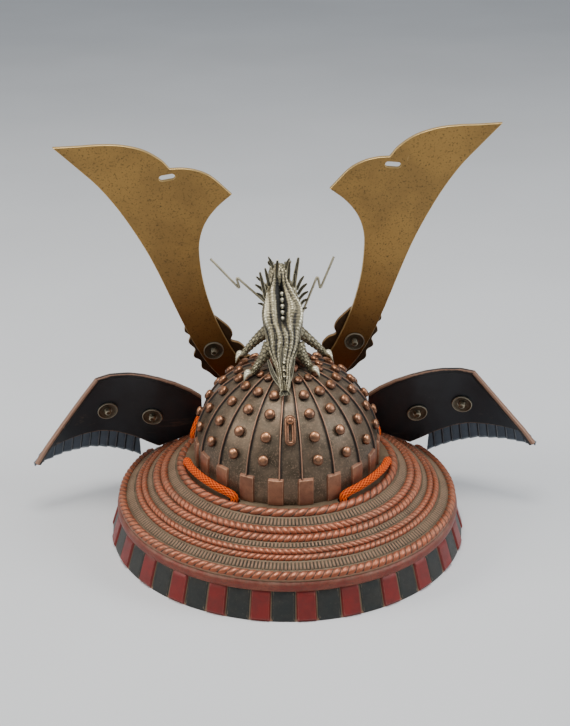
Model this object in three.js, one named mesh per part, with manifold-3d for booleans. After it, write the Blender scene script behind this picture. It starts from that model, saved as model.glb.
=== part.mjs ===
// A cast copper kabuto: riveted bowl, roped neck guard, turned-back wings, horned crest and dragon.
// Millimetres, +Z up. The helmet rests on its rim, its wearer faces +Y and its right hand is at +X.

import * as THREE from 'three';
import { mergeVertices } from 'three/addons/utils/BufferGeometryUtils.js';
import Module from 'manifold-3d';

const wasm = await Module();
wasm.setup();

// ---- Driving dimensions ----

const SKIRT_RADIUS = 105; // bottom rim of the neck guard
const SKIRT_HEIGHT = 16.6; // from the rim to the top of its panels
const SKIRT_TOP_RADIUS = 99.6;
const CAST_WALL = 2.6; // copper casting
const SHEET = 2.2; // wings, visor and horns
const GAP = 0.3; // between pieces that touch

const LEDGE_HEIGHT = 43.9; // flat ledge that carries the bowl
const LEDGE_INNER_RADIUS = 50;
const LEDGE_OUTER_RADIUS = 59.8;
const BRIM_SLOPE = 0.524; // fall of the neck guard for each mm of radius
const GUARD_SIDES = 52;
const GUARD_FRONT = 50; // the neck guard is cut off at this distance ahead of its axis

const BOWL_HALF_WIDTH = 53;
const BOWL_HALF_LENGTH = 59.4;
const BOWL_CENTRE_Y = 3.5;
const BOWL_BASE = LEDGE_HEIGHT + GAP;
const BOWL_SPRING = 53; // height where the wall turns into the dome
const BOWL_RISE = 50.5;

const RIB_FIRST = 6.7; // degrees from the back of the bowl
const RIB_STEP = 20.4;
const RIBS_PER_SIDE = 9;
const RIB_WIDTH = 2.0;
const RIB_HEIGHT = 1.5;
const RIVET_ROWS = [20, 31.6, 43.9, 57.8, 71.6]; // degrees down from the apex
const RIVET_RADIUS = 3.0;
const RIVET_HEIGHT = 3.3;
const TAB_STEP = 18;
const TAB_WIDTH = 10;
const TAB_TOP = 60;
const TAB_HEIGHT = 1.1;

const PANEL_STEP = 360 / 26; // one red and one black panel
const PANEL_RED = 6.1;
const PANEL_SHIFT = 3.8; // degrees that the first red panel lies to the right of the back
const PANEL_RELIEF = 1.2;

const CORD_RADIUS = 2.3;
const CORD_HOLE_RADIUS = 3.3;

const WING_LEAN = Math.tan(THREE.MathUtils.degToRad(18));
const WING_DROOP = 4.5; // how far one wing tip hangs below the mean, and the other rises above it
const STRIP_THICKNESS = 1.6;
const PLEATS = 12;
const PLEAT_DEPTH = 1.0;

const WASHER_RADIUS = 6.1;
const WASHER_THICKNESS = 1.1;
const STEM_RADIUS = 1.9;
const STEM_HOLE_RADIUS = 2.3;

const CREST = { y: 58.8, z: 91.5, lean: 12, roll: 2, turn: 2.9 }; // centre between the two horn screws
const HORN_SCREW_X = 43.1;
const DRAGON_X = -2.5;

// ---- Materials ----

const material = (color, roughness, metalness) =>
  new THREE.MeshStandardMaterial({ color, roughness, metalness });
const copper = material(0x8a7260, 0.5, 0.8);
const ropeCopper = material(0xa86a48, 0.5, 0.7);
const blackPlate = material(0x1d1f21, 0.45, 0.5);
const greyStrip = material(0x3c444c, 0.5, 0.5);
const goldBronze = material(0x9a7638, 0.5, 0.8);
const darkBronze = material(0x4a3722, 0.55, 0.7);
const pewter = material(0xb5b09a, 0.45, 0.9);
const steel = material(0x6a675c, 0.45, 0.9);
const orangeSilk = material(0xe0601c, 0.8, 0.0);

// ---- Helpers ----

const rad = THREE.MathUtils.degToRad;
const v3 = (x, y, z) => new THREE.Vector3(x, y, z);

// A point at a bearing in degrees from the back of the helmet, positive towards +X.
const bearing = (angle, radius, z) =>
  v3(radius * Math.sin(rad(angle)), -radius * Math.cos(rad(angle)), z);

function toSolid(source) {
  const geometry = source.clone();
  for (const name of ['normal', 'uv']) geometry.deleteAttribute(name);
  const merged = mergeVertices(geometry, 1e-4);
  const index = merged.index.array;
  const position = merged.attributes.position.array;
  const triVerts = [];
  for (let i = 0; i < index.length; i += 3) {
    const [a, b, c] = [index[i], index[i + 1], index[i + 2]];
    if (a !== b && b !== c && c !== a) triVerts.push(a, b, c);
  }
  const mesh = new wasm.Mesh({
    numProp: 3,
    vertProperties: new Float32Array(position),
    triVerts: new Uint32Array(triVerts),
  });
  return new wasm.Manifold(mesh);
}

function toGeometry(solid) {
  const mesh = solid.getMesh();
  const geometry = new THREE.BufferGeometry();
  geometry.setAttribute('position', new THREE.BufferAttribute(mesh.vertProperties, 3));
  geometry.setIndex(new THREE.BufferAttribute(mesh.triVerts, 1));
  geometry.computeVertexNormals();
  return geometry;
}

const joinAll = (solids) => solids.reduce((sum, solid) => sum.add(solid));

// A closed body through rings of points with the same number of points in each.
function loft(rings) {
  const count = rings[0].length;
  const points = rings.flat();
  const faces = [];
  for (let r = 0; r + 1 < rings.length; r++) {
    for (let i = 0; i < count; i++) {
      const [a, b] = [r * count + i, r * count + ((i + 1) % count)];
      faces.push([a, b, b + count], [a, b + count, a + count]);
    }
  }
  const last = (rings.length - 1) * count;
  for (let i = 1; i + 1 < count; i++) {
    faces.push([0, i + 1, i], [last, last + i, last + i + 1]);
  }
  const volume = faces.reduce((sum, [a, b, c]) => {
    return sum + points[a].dot(points[b].clone().cross(points[c]));
  }, 0);
  const geometry = new THREE.BufferGeometry().setFromPoints(points);
  geometry.setIndex(faces.flatMap(([a, b, c]) => (volume > 0 ? [a, b, c] : [a, c, b])));
  return geometry;
}

// A body of revolution about the helmet's axis, from a closed profile of [radius, height] pairs.
function revolve(profile, segments) {
  const points = [...profile, profile[0]].map(([r, z]) => new THREE.Vector2(r, z));
  const geometry = new THREE.LatheGeometry(points, segments);
  geometry.rotateX(Math.PI / 2);
  return geometry;
}

function makeRevolved(profile, segments) {
  const area = profile.reduce((sum, [r, z], i) => {
    const [s, w] = profile[(i + 1) % profile.length];
    return sum + r * w - s * z;
  }, 0);
  const geometry = revolve(area > 0 ? profile : [...profile].reverse(), segments);
  return toSolid(geometry);
}

const boxSolid = (low, high) => {
  const size = high.map((value, i) => value - low[i]);
  const geometry = new THREE.BoxGeometry(...size);
  geometry.translate(...low.map((value, i) => value + size[i] / 2));
  return toSolid(geometry);
};

// A rod of even radius along +Z, moved onto a line that starts at a point and runs along a direction.
function rodOnLine(start, direction, radius, length, sides) {
  const geometry = new THREE.CylinderGeometry(radius, radius, length, sides);
  geometry.rotateX(Math.PI / 2);
  geometry.translate(0, 0, length / 2);
  const turn = new THREE.Quaternion().setFromUnitVectors(v3(0, 0, 1), direction.clone().normalize());
  geometry.applyQuaternion(turn);
  geometry.translate(start.x, start.y, start.z);
  return geometry;
}

// A limb: a run of round sections with their own radii along a curve through the given points.
function limb(rows, sides = 6, steps = rows.length * 2) {
  const curve = new THREE.CatmullRomCurve3(rows.map(({ x, y, z }) => v3(x, y, z)));
  const frames = curve.computeFrenetFrames(steps);
  const rings = [];
  for (let s = 0; s <= steps; s++) {
    const place = (s / steps) * (rows.length - 1);
    const row = Math.min(Math.floor(place), rows.length - 2);
    const radius = THREE.MathUtils.lerp(rows[row].r, rows[row + 1].r, place - row);
    const centre = curve.getPoint(s / steps);
    const tangent = curve.getTangent(s / steps);
    const side = frames.normals[s].clone().projectOnPlane(tangent).normalize();
    const up = tangent.clone().cross(side);
    rings.push(Array.from({ length: sides }, (_, i) => {
      const angle = (i / sides) * 2 * Math.PI;
      return centre.clone()
        .addScaledVector(side, radius * Math.cos(angle))
        .addScaledVector(up, radius * Math.sin(angle));
    }));
  }
  return toSolid(loft(rings));
}

const group = new THREE.Group();

function addMesh(name, geometry, look, parent = group) {
  const mesh = new THREE.Mesh(geometry, look);
  mesh.name = name;
  parent.add(mesh);
  return mesh;
}

// ---- Neck guard: ledge, ropes, ribbed bands and the panelled skirt, one casting ----

const BRIM_BANDS = [
  { inner: 59.8, outer: 64.6, rope: 2.0 },
  { inner: 64.6, outer: 70.0, rope: 0 },
  { inner: 70.0, outer: 74.4, rope: 1.8 },
  { inner: 74.4, outer: 78.8, rope: 1.8 },
  { inner: 78.8, outer: 82.2, rope: 0 },
  { inner: 82.2, outer: 85.6, rope: 1.5 },
  { inner: 85.6, outer: 89.0, rope: 1.5 },
  { inner: 89.0, outer: 94.6, rope: 0 },
  { inner: 94.6, outer: 99.2, rope: 2.0 },
];

const brimHeight = (radius) => LEDGE_HEIGHT - BRIM_SLOPE * Math.max(0, radius - LEDGE_OUTER_RADIUS);

// The outer surface from the ledge to the rim. Lift moves it outwards, to cut clearances.
function guardSurface(lift) {
  const points = [[LEDGE_INNER_RADIUS, LEDGE_HEIGHT + lift]];
  for (const { inner, outer, rope } of BRIM_BANDS) {
    points.push([inner + lift * 0.4, brimHeight(inner) + lift]);
    if (rope > 0) {
      for (const t of [0.25, 0.75]) {
        const radius = THREE.MathUtils.lerp(inner, outer, t);
        const rise = rope * Math.sin(Math.PI * t);
        points.push([radius + rise * 0.45 + lift * 0.4, brimHeight(radius) + rise * 0.9 + lift]);
      }
    }
  }
  points.push([99.2 + lift, 23.2]);
  points.push([98.7 + lift, 20.8]);
  points.push([SKIRT_TOP_RADIUS + 0.2 + lift, 19.4]);
  points.push([SKIRT_TOP_RADIUS + lift, SKIRT_HEIGHT]);
  return points;
}

function makeNeckGuard() {
  const back = PANEL_RELIEF;
  const profile = [
    ...guardSurface(0),
    [SKIRT_TOP_RADIUS - back, SKIRT_HEIGHT],
    [SKIRT_RADIUS - back, 0],
    [SKIRT_RADIUS - back - CAST_WALL, 0],
    [SKIRT_TOP_RADIUS - back - CAST_WALL, SKIRT_HEIGHT],
    [95.4, 21.5],
    [LEDGE_OUTER_RADIUS, LEDGE_HEIGHT - CAST_WALL - 0.4],
    [LEDGE_INNER_RADIUS, LEDGE_HEIGHT - CAST_WALL],
  ];
  const panels = [];
  const reach = Math.ceil(130 / PANEL_STEP);
  for (let k = -reach; k <= reach; k++) {
    const centre = PANEL_SHIFT + k * PANEL_STEP;
    panels.push(toSolid(loft([-0.5, 0, 0.5].map((t) => {
      const angle = centre + t * PANEL_RED;
      return [
        bearing(angle, SKIRT_RADIUS, 0),
        bearing(angle, SKIRT_TOP_RADIUS, SKIRT_HEIGHT + 0.4),
        bearing(angle, SKIRT_TOP_RADIUS - back - 1, SKIRT_HEIGHT + 0.4),
        bearing(angle, SKIRT_RADIUS - back - 1, 0),
      ];
    }))));
  }
  const front = boxSolid([-120, GUARD_FRONT, -5], [120, 130, 60]);
  return joinAll([makeRevolved(profile, GUARD_SIDES), ...panels]).subtract(front);
}

// What the neck guard fills, swollen by a gap, so that its neighbours can be cut clear of it.
function guardClearance() {
  const base = guardSurface(GAP);
  const profile = [...base, [SKIRT_RADIUS + GAP, -1], [LEDGE_INNER_RADIUS, -1]];
  return makeRevolved(profile, GUARD_SIDES);
}

// ---- Chin cord: one closed loop laced through eight holes around the bowl ----

const CORD_HOLES = [
  { angle: -83, radius: 58.9 },
  { angle: -32, radius: 58.9 },
  { angle: 30, radius: 58.9 },
  { angle: 80, radius: 58.9 },
  { angle: 117.5, radius: 62.6 },
  { angle: 149.5, radius: 64.4 },
  { angle: 210.5, radius: 64.4 },
  { angle: 242.5, radius: 62.6 },
];
const CORD_OUTSIDE = [
  { from: 0, radius: 58.9, height: 49.5 },
  { from: 2, radius: 58.9, height: 49.5 },
  { from: 4, radius: 62.2, height: 58 },
  { from: 6, radius: 62.2, height: 58 },
];
const CORD_INSIDE_RADIUS = 57;
const CORD_INSIDE_HEIGHT = 35.5;

function cordCurve() {
  const points = [];
  CORD_HOLES.forEach(({ angle, radius }, i) => {
    const outside = CORD_OUTSIDE.find(({ from }) => from === i);
    const levels = [38, 42.5, 46.5];
    for (const z of outside ? levels : [...levels].reverse()) points.push(bearing(angle, radius, z));
    const next = CORD_HOLES[(i + 1) % CORD_HOLES.length];
    const end = i + 1 === CORD_HOLES.length ? next.angle + 360 : next.angle;
    for (const t of [0.25, 0.5, 0.75]) {
      const along = THREE.MathUtils.lerp(angle, end, t);
      if (outside) {
        const height = t === 0.5 ? outside.height : outside.height - (outside.height - 46.5) * 0.2;
        points.push(bearing(along, outside.radius, height));
      } else {
        points.push(bearing(along, CORD_INSIDE_RADIUS, CORD_INSIDE_HEIGHT));
      }
    }
  });
  return new THREE.CatmullRomCurve3(points, true, 'centripetal');
}

const cordHole = ({ angle, radius }) =>
  toSolid(rodOnLine(bearing(angle, radius, 30), v3(0, 0, 1), CORD_HOLE_RADIUS, 22, 12));

// ---- Bowl: dome with standing ribs, round rivets and a row of tabs at its base ----

// A point of the bowl's skin. Bearing and polar angle are in degrees, lift is outwards.
function domePoint(angle, polar, lift) {
  const across = Math.sin(rad(polar));
  const half = BOWL_HALF_WIDTH + lift;
  const length = BOWL_HALF_LENGTH + lift;
  return v3(
    half * across * Math.sin(rad(angle)),
    BOWL_CENTRE_Y - length * across * Math.cos(rad(angle)),
    BOWL_SPRING + (BOWL_RISE + lift) * Math.cos(rad(polar)),
  );
}

function wallPoint(angle, height, lift) {
  const point = domePoint(angle, 90, lift);
  point.z = height;
  return point;
}

function domeSolid(lift, base, segments, rings) {
  const turn = (i) => (i / segments) * 360;
  const stack = [];
  stack.push(Array.from({ length: segments }, (_, i) => wallPoint(turn(i), base, lift)));
  for (let r = 0; r < rings; r++) {
    const polar = 90 * (1 - r / rings);
    stack.push(Array.from({ length: segments }, (_, i) => domePoint(turn(i), polar, lift)));
  }
  const points = stack.flat();
  const apex = points.length;
  points.push(domePoint(0, 0, lift));
  const faces = [];
  for (let r = 0; r + 1 < stack.length; r++) {
    for (let i = 0; i < segments; i++) {
      const [a, b] = [r * segments + i, r * segments + ((i + 1) % segments)];
      faces.push([a, b, b + segments], [a, b + segments, a + segments]);
    }
  }
  const last = (stack.length - 1) * segments;
  for (let i = 0; i < segments; i++) faces.push([last + i, last + ((i + 1) % segments), apex]);
  for (let i = 1; i + 1 < segments; i++) faces.push([0, i + 1, i]);
  const geometry = new THREE.BufferGeometry().setFromPoints(points);
  geometry.setIndex(faces.flat());
  return toSolid(geometry);
}

const skinNormal = (angle, polar) =>
  domePoint(angle, polar, 1).sub(domePoint(angle, polar, 0)).normalize();

function rivet(angle, polar, swell) {
  const foot = domePoint(angle, polar, 0);
  const out = skinNormal(angle, polar);
  const side = v3(0, 0, 1).cross(out).normalize();
  const up = out.clone().cross(side);
  const small = polar < RIVET_ROWS[1] ? 0.8 : 1;
  const levels = [
    { rise: -1.2, radius: RIVET_RADIUS * small + swell },
    { rise: RIVET_HEIGHT * 0.52 * small, radius: RIVET_RADIUS * small + swell },
    { rise: RIVET_HEIGHT * small + swell, radius: 0 },
  ];
  return toSolid(loft(levels.map(({ rise, radius }) => Array.from({ length: 6 }, (_, i) => {
    const turn = (i / 6) * 2 * Math.PI;
    return foot.clone()
      .addScaledVector(out, rise)
      .addScaledVector(side, radius * Math.cos(turn))
      .addScaledVector(up, radius * Math.sin(turn));
  }))));
}

function rib(angle, swell) {
  const rings = [];
  for (const polar of [16, 40, 65, 90]) {
    const foot = domePoint(angle, polar, -0.8);
    const out = skinNormal(angle, polar);
    const side = v3(0, 0, 1).cross(out).normalize();
    const half = RIB_WIDTH / 2 + swell;
    rings.push([
      foot.clone().addScaledVector(side, -half),
      foot.clone().addScaledVector(side, half),
      domePoint(angle, polar, RIB_HEIGHT + swell),
    ]);
  }
  const last = rings[rings.length - 1];
  rings.push(last.map((point) => v3(point.x, point.y, BOWL_BASE - swell)));
  return toSolid(loft(rings));
}

function tab(angle, swell) {
  const half = TAB_WIDTH / 2;
  const corner = (turn, lift) => [
    wallPoint(angle + turn, BOWL_BASE - swell, lift),
    domePoint(angle + turn, 82, lift),
  ];
  const rings = [-half, half].map((turn) => {
    const [lowOut, highOut] = corner(turn, TAB_HEIGHT + swell);
    const [lowIn, highIn] = corner(turn, -1);
    return [lowOut, highOut, highIn, lowIn];
  });
  return toSolid(loft(rings));
}

const ribBearings = [];
for (let k = 0; k < RIBS_PER_SIDE; k++) {
  const angle = RIB_FIRST + k * RIB_STEP;
  ribBearings.push(angle, -angle);
}
const rivetBearings = [];
for (let k = 0; k < RIBS_PER_SIDE - 1; k++) {
  const angle = RIB_FIRST + (k + 0.5) * RIB_STEP;
  rivetBearings.push(angle, -angle);
}

// The bowl's outside. A swell of one gap gives the space that its neighbours keep out of.
function bowlOutside(swell) {
  const parts = [domeSolid(swell, BOWL_BASE - swell, 36, 6)];
  for (const angle of ribBearings) parts.push(rib(angle, swell));
  for (const angle of rivetBearings) {
    for (const polar of RIVET_ROWS) parts.push(rivet(angle, polar, swell));
  }
  for (let angle = TAB_STEP / 2; angle < 360; angle += TAB_STEP) parts.push(tab(angle, swell));
  return joinAll(parts);
}

// ---- Visor: a plain curved plate at the front ----

const VISOR_SPREAD = 58;
const VISOR_REACH = 27;
const VISOR_DROP = 9;

function makeVisor() {
  const rings = [];
  for (let k = 0; k <= 14; k++) {
    const angle = 180 - VISOR_SPREAD + (k / 14) * 2 * VISOR_SPREAD;
    const along = (angle - 180) / VISOR_SPREAD;
    const reach = 7 + (VISOR_REACH - 7) * Math.sqrt(Math.max(0, 1 - along * along * 0.9));
    const lifts = [-3, 6, (6 + reach) / 2, reach];
    const drops = [0, 0, VISOR_DROP * 0.36, VISOR_DROP];
    const top = lifts.map((lift, i) => wallPoint(angle, LEDGE_HEIGHT - drops[i], lift));
    const bottom = top.map((point) => v3(point.x, point.y, point.z - SHEET)).reverse();
    rings.push([...top, ...bottom]);
  }
  const behind = boxSolid([-80, -80, 0], [80, GUARD_FRONT + GAP, 80]);
  return toSolid(loft(rings)).subtract(behind);
}

// ---- Turned-back wings and the pleated strips under them ----

// Heights of the wing's plate at distances from the centre plane, and how far ahead its foot lies.
const WING_ROWS = [
  { x: 50.5, low: 35.0, high: 66.5, y: 48.5 },
  { x: 57, low: 32.0, high: 72.5, y: 48.4 },
  { x: 66, low: 28.5, high: 78.5, y: 48.1 },
  { x: 75, low: 28.0, high: 82.5, y: 47.6 },
  { x: 84, low: 32.5, high: 85.0, y: 46.8 },
  { x: 93, low: 37.8, high: 86.4, y: 45.2 },
  { x: 104, low: 43.0, high: 86.6, y: 42.3 },
  { x: 112, low: 45.4, high: 85.0, y: 39.4 },
  { x: 114.5, low: 45.9, high: 81.8, y: 38.3 },
  { x: 124, low: 46.6, high: 69.9, y: 33.5 },
  { x: 134, low: 46.0, high: 57.3, y: 28.2 },
  { x: 143.5, low: 44.3, high: 45.4, y: 22.5 },
];
const STRIP_ROWS = [
  { x: 89.5, low: 20.5, high: 39.0 },
  { x: 97, low: 24.5, high: 43.2 },
  { x: 106, low: 28.5, high: 47.0 },
  { x: 119, low: 33.3, high: 49.6 },
  { x: 134, low: 35.2, high: 49.0 },
  { x: 143, low: 34.6, high: 44.2 },
  { x: 150.5, low: 33.2, high: 35.2 },
];

function interpolate(rows, x, key) {
  const upper = rows.findIndex((row) => row.x >= x);
  if (upper <= 0) return rows[upper === 0 ? 0 : rows.length - 1][key];
  const [a, b] = [rows[upper - 1], rows[upper]];
  return THREE.MathUtils.lerp(a[key], b[key], (x - a.x) / (b.x - a.x));
}

// A point of the wing's leaning surface: side is -1 for the left wing and 1 for the right one.
function wingPoint(side, x, z, forward) {
  const foot = interpolate(WING_ROWS, x, 'y') + (x > 143.5 ? (143.5 - x) * 0.6 : 0);
  const low = interpolate(WING_ROWS, x, 'low');
  const sweep = THREE.MathUtils.clamp((x - 70) / 75, 0, 1) * 0.55;
  const droop = side * WING_DROOP * Math.max(0, (x - 84) / 67) ** 2;
  const y = foot - (z - low) * WING_LEAN + forward * Math.cos(sweep);
  return v3(side * (x + forward * Math.sin(sweep)), y, z + droop);
}

function plateAlong(side, rows, thickness, forward) {
  return rows.map(({ x, low, high }, i) => {
    const shift = typeof forward === 'function' ? forward(i) : forward;
    return [
      wingPoint(side, x, low, shift - thickness / 2),
      wingPoint(side, x, high, shift - thickness / 2),
      wingPoint(side, x, high, shift + thickness / 2),
      wingPoint(side, x, low, shift + thickness / 2),
    ];
  });
}

const WING_SCREWS = [
  { name: 'inner', x: 80.5, z: 54.4 },
  { name: 'outer', x: 107.5, z: 61.3 },
];

// Where a screw crosses a wing: its axis runs from the hidden front to the back of the plate.
function wingScrewFrame(side, { x, z }) {
  const middle = wingPoint(side, x, z, 0);
  const sideways = wingPoint(side, x + 2, z, 0).sub(wingPoint(side, x - 2, z, 0));
  const upwards = wingPoint(side, x, z + 2, 0).sub(wingPoint(side, x, z - 2, 0));
  const backwards = sideways.cross(upwards).normalize();
  if (backwards.y > 0) backwards.negate();
  return { middle, backwards };
}

function makeWing(side, keepOut) {
  let plate = toSolid(loft(plateAlong(side, WING_ROWS, SHEET, 0)));
  for (const screw of WING_SCREWS) {
    const { middle, backwards } = wingScrewFrame(side, screw);
    const start = middle.clone().addScaledVector(backwards, -6);
    plate = plate.subtract(toSolid(rodOnLine(start, backwards, STEM_HOLE_RADIUS, 12, 12)));
  }
  return plate.subtract(keepOut);
}

function makeStrip(side, keepOut) {
  const rows = [];
  const first = STRIP_ROWS[0].x;
  const span = STRIP_ROWS[STRIP_ROWS.length - 1].x - first;
  for (let k = 0; k <= PLEATS * 2; k++) {
    const x = first + (k / (PLEATS * 2)) * span;
    rows.push({ x, low: interpolate(STRIP_ROWS, x, 'low'), high: interpolate(STRIP_ROWS, x, 'high') });
  }
  const middle = SHEET / 2 + GAP + PLEAT_DEPTH / 2 + STRIP_THICKNESS / 2;
  const wave = (i) => middle + (i % 2 === 0 ? -PLEAT_DEPTH : PLEAT_DEPTH) / 2;
  return toSolid(loft(plateAlong(side, rows, STRIP_THICKNESS, wave))).subtract(keepOut);
}

// A washer with its hole, its back face turned towards the given direction.
function makeWasher(seat, direction) {
  const profile = [
    [STEM_HOLE_RADIUS, 0],
    [WASHER_RADIUS, 0],
    [WASHER_RADIUS - 0.4, WASHER_THICKNESS],
    [STEM_HOLE_RADIUS, WASHER_THICKNESS * 0.6],
  ];
  return placeTurned(profile, seat, direction, 12);
}

// A screw from its domed head at the front to its cut end at the back.
function makeScrew(seat, direction, headDepth, tail) {
  const profile = [
    [0, -headDepth - 2.4],
    [4.2, -headDepth - 1.6],
    [5.8, -headDepth],
    [STEM_RADIUS, -headDepth],
    [STEM_RADIUS, tail],
    [0, tail],
  ];
  return placeTurned(profile, seat, direction, 8);
}

function placeTurned(profile, seat, direction, segments) {
  const turned = toGeometry(makeRevolved(profile, segments));
  turned.applyQuaternion(new THREE.Quaternion().setFromUnitVectors(v3(0, 0, 1), direction));
  turned.translate(seat.x, seat.y, seat.z);
  return turned;
}

// ---- Horned crest: a scalloped holder across the front and two flat horns ----

// Outline of the right horn, from the crest's centre line and from the height of its screws.
const HORN_TOP = [
  [124.8, 141.4], [112, 141.3], [99.5, 141.5], [87.4, 140.4], [75.7, 136.8], [66.6, 130.5], [61.8, 124.5],
];
const HORN_LOBE = [[61.8, 124.5], [54.4, 124.3], [46.5, 122.4], [38.5, 117.8], [27.9, 106.3]];
const HORN_INNER = [
  [27.9, 106.3], [36.8, 98.4], [43.6, 89], [47.4, 78], [48.2, 66], [46.4, 46], [41.4, 24], [33.5, 3], [26, -12],
];
const HORN_FOOT = [[26, -12], [27.5, -21], [34, -25.5], [38.5, -23]];
const HORN_OUTER = [
  [38.5, -23], [47.4, -9.9], [55.2, 6.5], [62, 25], [71.8, 54.2], [77.8, 70.4], [84.8, 86], [93.2, 102],
  [102.6, 116.3], [113.4, 128.8], [124.8, 141.4],
];
const HORN_SLOT = { x: 63.7, y: 119.4, length: 9, width: 3.4, tilt: -8 };

const HOLDER_SCALLOPS = [
  [0, -30], [8, -25], [15, -22], [19, -15], [21, -8], [24.5, -8.5], [23.5, -3], [27, 2], [32, 4.5],
  [31, 9], [33, 14], [38, 19.5], [42, 23], [48, 24.5], [54, 23], [59, 17.5], [60, 13], [57, 9.5],
  [58, 4.5], [54.5, -0.5], [55.5, -6], [51.5, -9.5], [51, -15], [47, -18.5], [43.5, -22.5], [39, -26],
  [34, -33], [27, -38.5], [17, -42], [0, -43.5],
];

// An outline through several runs, each one a smooth curve between its first and last corner.
function outline(runs) {
  const shape = new THREE.Shape();
  shape.moveTo(...runs[0].points[0]);
  for (const { points, steps } of runs) {
    const curve = new THREE.SplineCurve(points.map(([x, y]) => new THREE.Vector2(x, y)));
    for (const point of curve.getPoints(steps).slice(1)) shape.lineTo(point.x, point.y);
  }
  return shape;
}

function makeHornShape() {
  const shape = outline([
    { points: HORN_TOP, steps: 9 },
    { points: HORN_LOBE, steps: 7 },
    { points: HORN_INNER, steps: 12 },
    { points: HORN_FOOT, steps: 4 },
    { points: HORN_OUTER, steps: 12 },
  ]);
  const { x, y, length, width, tilt } = HORN_SLOT;
  const slot = new THREE.Path();
  const run = (length - width) / 2;
  const [c, s] = [Math.cos(rad(tilt)) * run, Math.sin(rad(tilt)) * run];
  slot.absarc(x + c, y + s, width / 2, rad(tilt - 90), rad(tilt + 90), false);
  slot.absarc(x - c, y - s, width / 2, rad(tilt + 90), rad(tilt + 270), false);
  shape.holes.push(slot, roundHole(HORN_SCREW_X, 0));
  return shape;
}

function roundHole(x, y) {
  const hole = new THREE.Path();
  hole.absarc(x, y, STEM_HOLE_RADIUS, 0, Math.PI * 2, false);
  return hole;
}

function makeHolderShape() {
  const right = HOLDER_SCALLOPS;
  const left = right.slice(1, -1).reverse().map(([x, y]) => [-x, y]);
  const shape = new THREE.Shape([...right, ...left].map(([x, y]) => new THREE.Vector2(x, y)));
  shape.holes.push(roundHole(HORN_SCREW_X, 0), roundHole(-HORN_SCREW_X, 0));
  return shape;
}

// Plates lie in the crest's plane: their outline is seen from behind, and depth runs forwards.
function crestPlate(shape, thickness, forward, mirror) {
  const geometry = new THREE.ExtrudeGeometry(shape, {
    depth: thickness, bevelEnabled: false, curveSegments: 4,
  });
  geometry.rotateX(Math.PI / 2);
  geometry.translate(0, forward + thickness, 0);
  const solid = toSolid(geometry);
  return mirror ? solid.mirror([1, 0, 0]) : solid;
}

// ---- Dragon: body over the apex, head, mane, four legs, tail fins and whiskers ----

const DRAGON_BODY = [
  { x: 0, y: -30, z: 100.5, r: 2.2 },
  { x: 0, y: -24, z: 105, r: 4.0 },
  { x: 0, y: -14, z: 109, r: 5.0 },
  { x: 0, y: -4, z: 115, r: 8.5 },
  { x: 0.5, y: 5, z: 123, r: 10.0 },
  { x: 0, y: 13, z: 132, r: 9.5 },
  { x: 0, y: 19, z: 141, r: 7.0 },
  { x: 0, y: 24, z: 147, r: 6.0 },
  { x: 0, y: 33, z: 147, r: 6.5 },
  { x: 0, y: 44, z: 141, r: 4.2 },
  { x: 0, y: 48, z: 138.5, r: 2.8 },
];
const DRAGON_LIMBS = [
  [{ x: -7, y: 0, z: 118, r: 4.2 }, { x: -12, y: -3, z: 110, r: 3.0 }, { x: -20, y: -7, z: 101.5, r: 1.8 }],
  [{ x: 8, y: 0, z: 118, r: 4.2 }, { x: 12, y: -2, z: 110, r: 3.0 }, { x: 17.5, y: -6, z: 103.5, r: 1.8 }],
  [{ x: -6, y: 12, z: 122, r: 4.0 }, { x: -15, y: 17, z: 112, r: 2.8 }, { x: -25, y: 18, z: 100.5, r: 1.9 }],
  [{ x: 6, y: 12, z: 122, r: 4.0 }, { x: 17, y: 17, z: 111, r: 2.8 }, { x: 28, y: 19, z: 99.5, r: 1.9 }],
  [{ x: -3, y: -14, z: 110, r: 1.8 }, { x: -8, y: -15, z: 107, r: 1.4 }, { x: -6.5, y: -24, z: 101, r: 0.8 }],
  [{ x: 3, y: -14, z: 110, r: 1.8 }, { x: 8, y: -15, z: 107, r: 1.4 }, { x: 6, y: -24, z: 102, r: 0.8 }],
];
const DRAGON_SPIKES = [
  { x: -6.5, y: 17, z: 138, tip: [-11.5, 15, 155] },
  { x: -4, y: 19, z: 143, tip: [-8.5, 17, 157] },
  { x: -1, y: 20, z: 144, tip: [-1, 17, 161.5] },
  { x: 3, y: 20, z: 143, tip: [5, 18, 160] },
  { x: 5, y: 18, z: 140, tip: [10, 16, 163.5] },
  { x: -4, y: 24, z: 146, tip: [-15, 24, 148] },
  { x: 4, y: 24, z: 146, tip: [15, 24, 148] },
  { x: -6, y: 17, z: 135, tip: [-15, 19, 139] },
  { x: 6, y: 17, z: 135, tip: [15, 19, 138] },
];
const WHISKER_RADIUS = 0.75;
const WHISKERS = {
  dragon_left_whisker: [[-9.5, 26, 132], [-25.5, 26.5, 147], [-24, 26.5, 141], [-40.5, 27, 158.5]],
  dragon_right_whisker: [[12, 26, 125], [20.5, 26.5, 147], [22.5, 26.5, 140], [30, 27, 159]],
};

function makeDragon(keepOut) {
  const parts = [limb(DRAGON_BODY, 8, 16)];
  for (const rows of DRAGON_LIMBS) parts.push(limb(rows, 6, 5));
  for (const { x, y, z, tip } of DRAGON_SPIKES) {
    const rows = [{ x, y, z, r: 1.9 }, { x: tip[0], y: tip[1], z: tip[2], r: 0.5 }];
    parts.push(limb(rows, 5, 2));
  }
  return joinAll(parts).translate([DRAGON_X, 0, 0]).subtract(keepOut);
}

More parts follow.
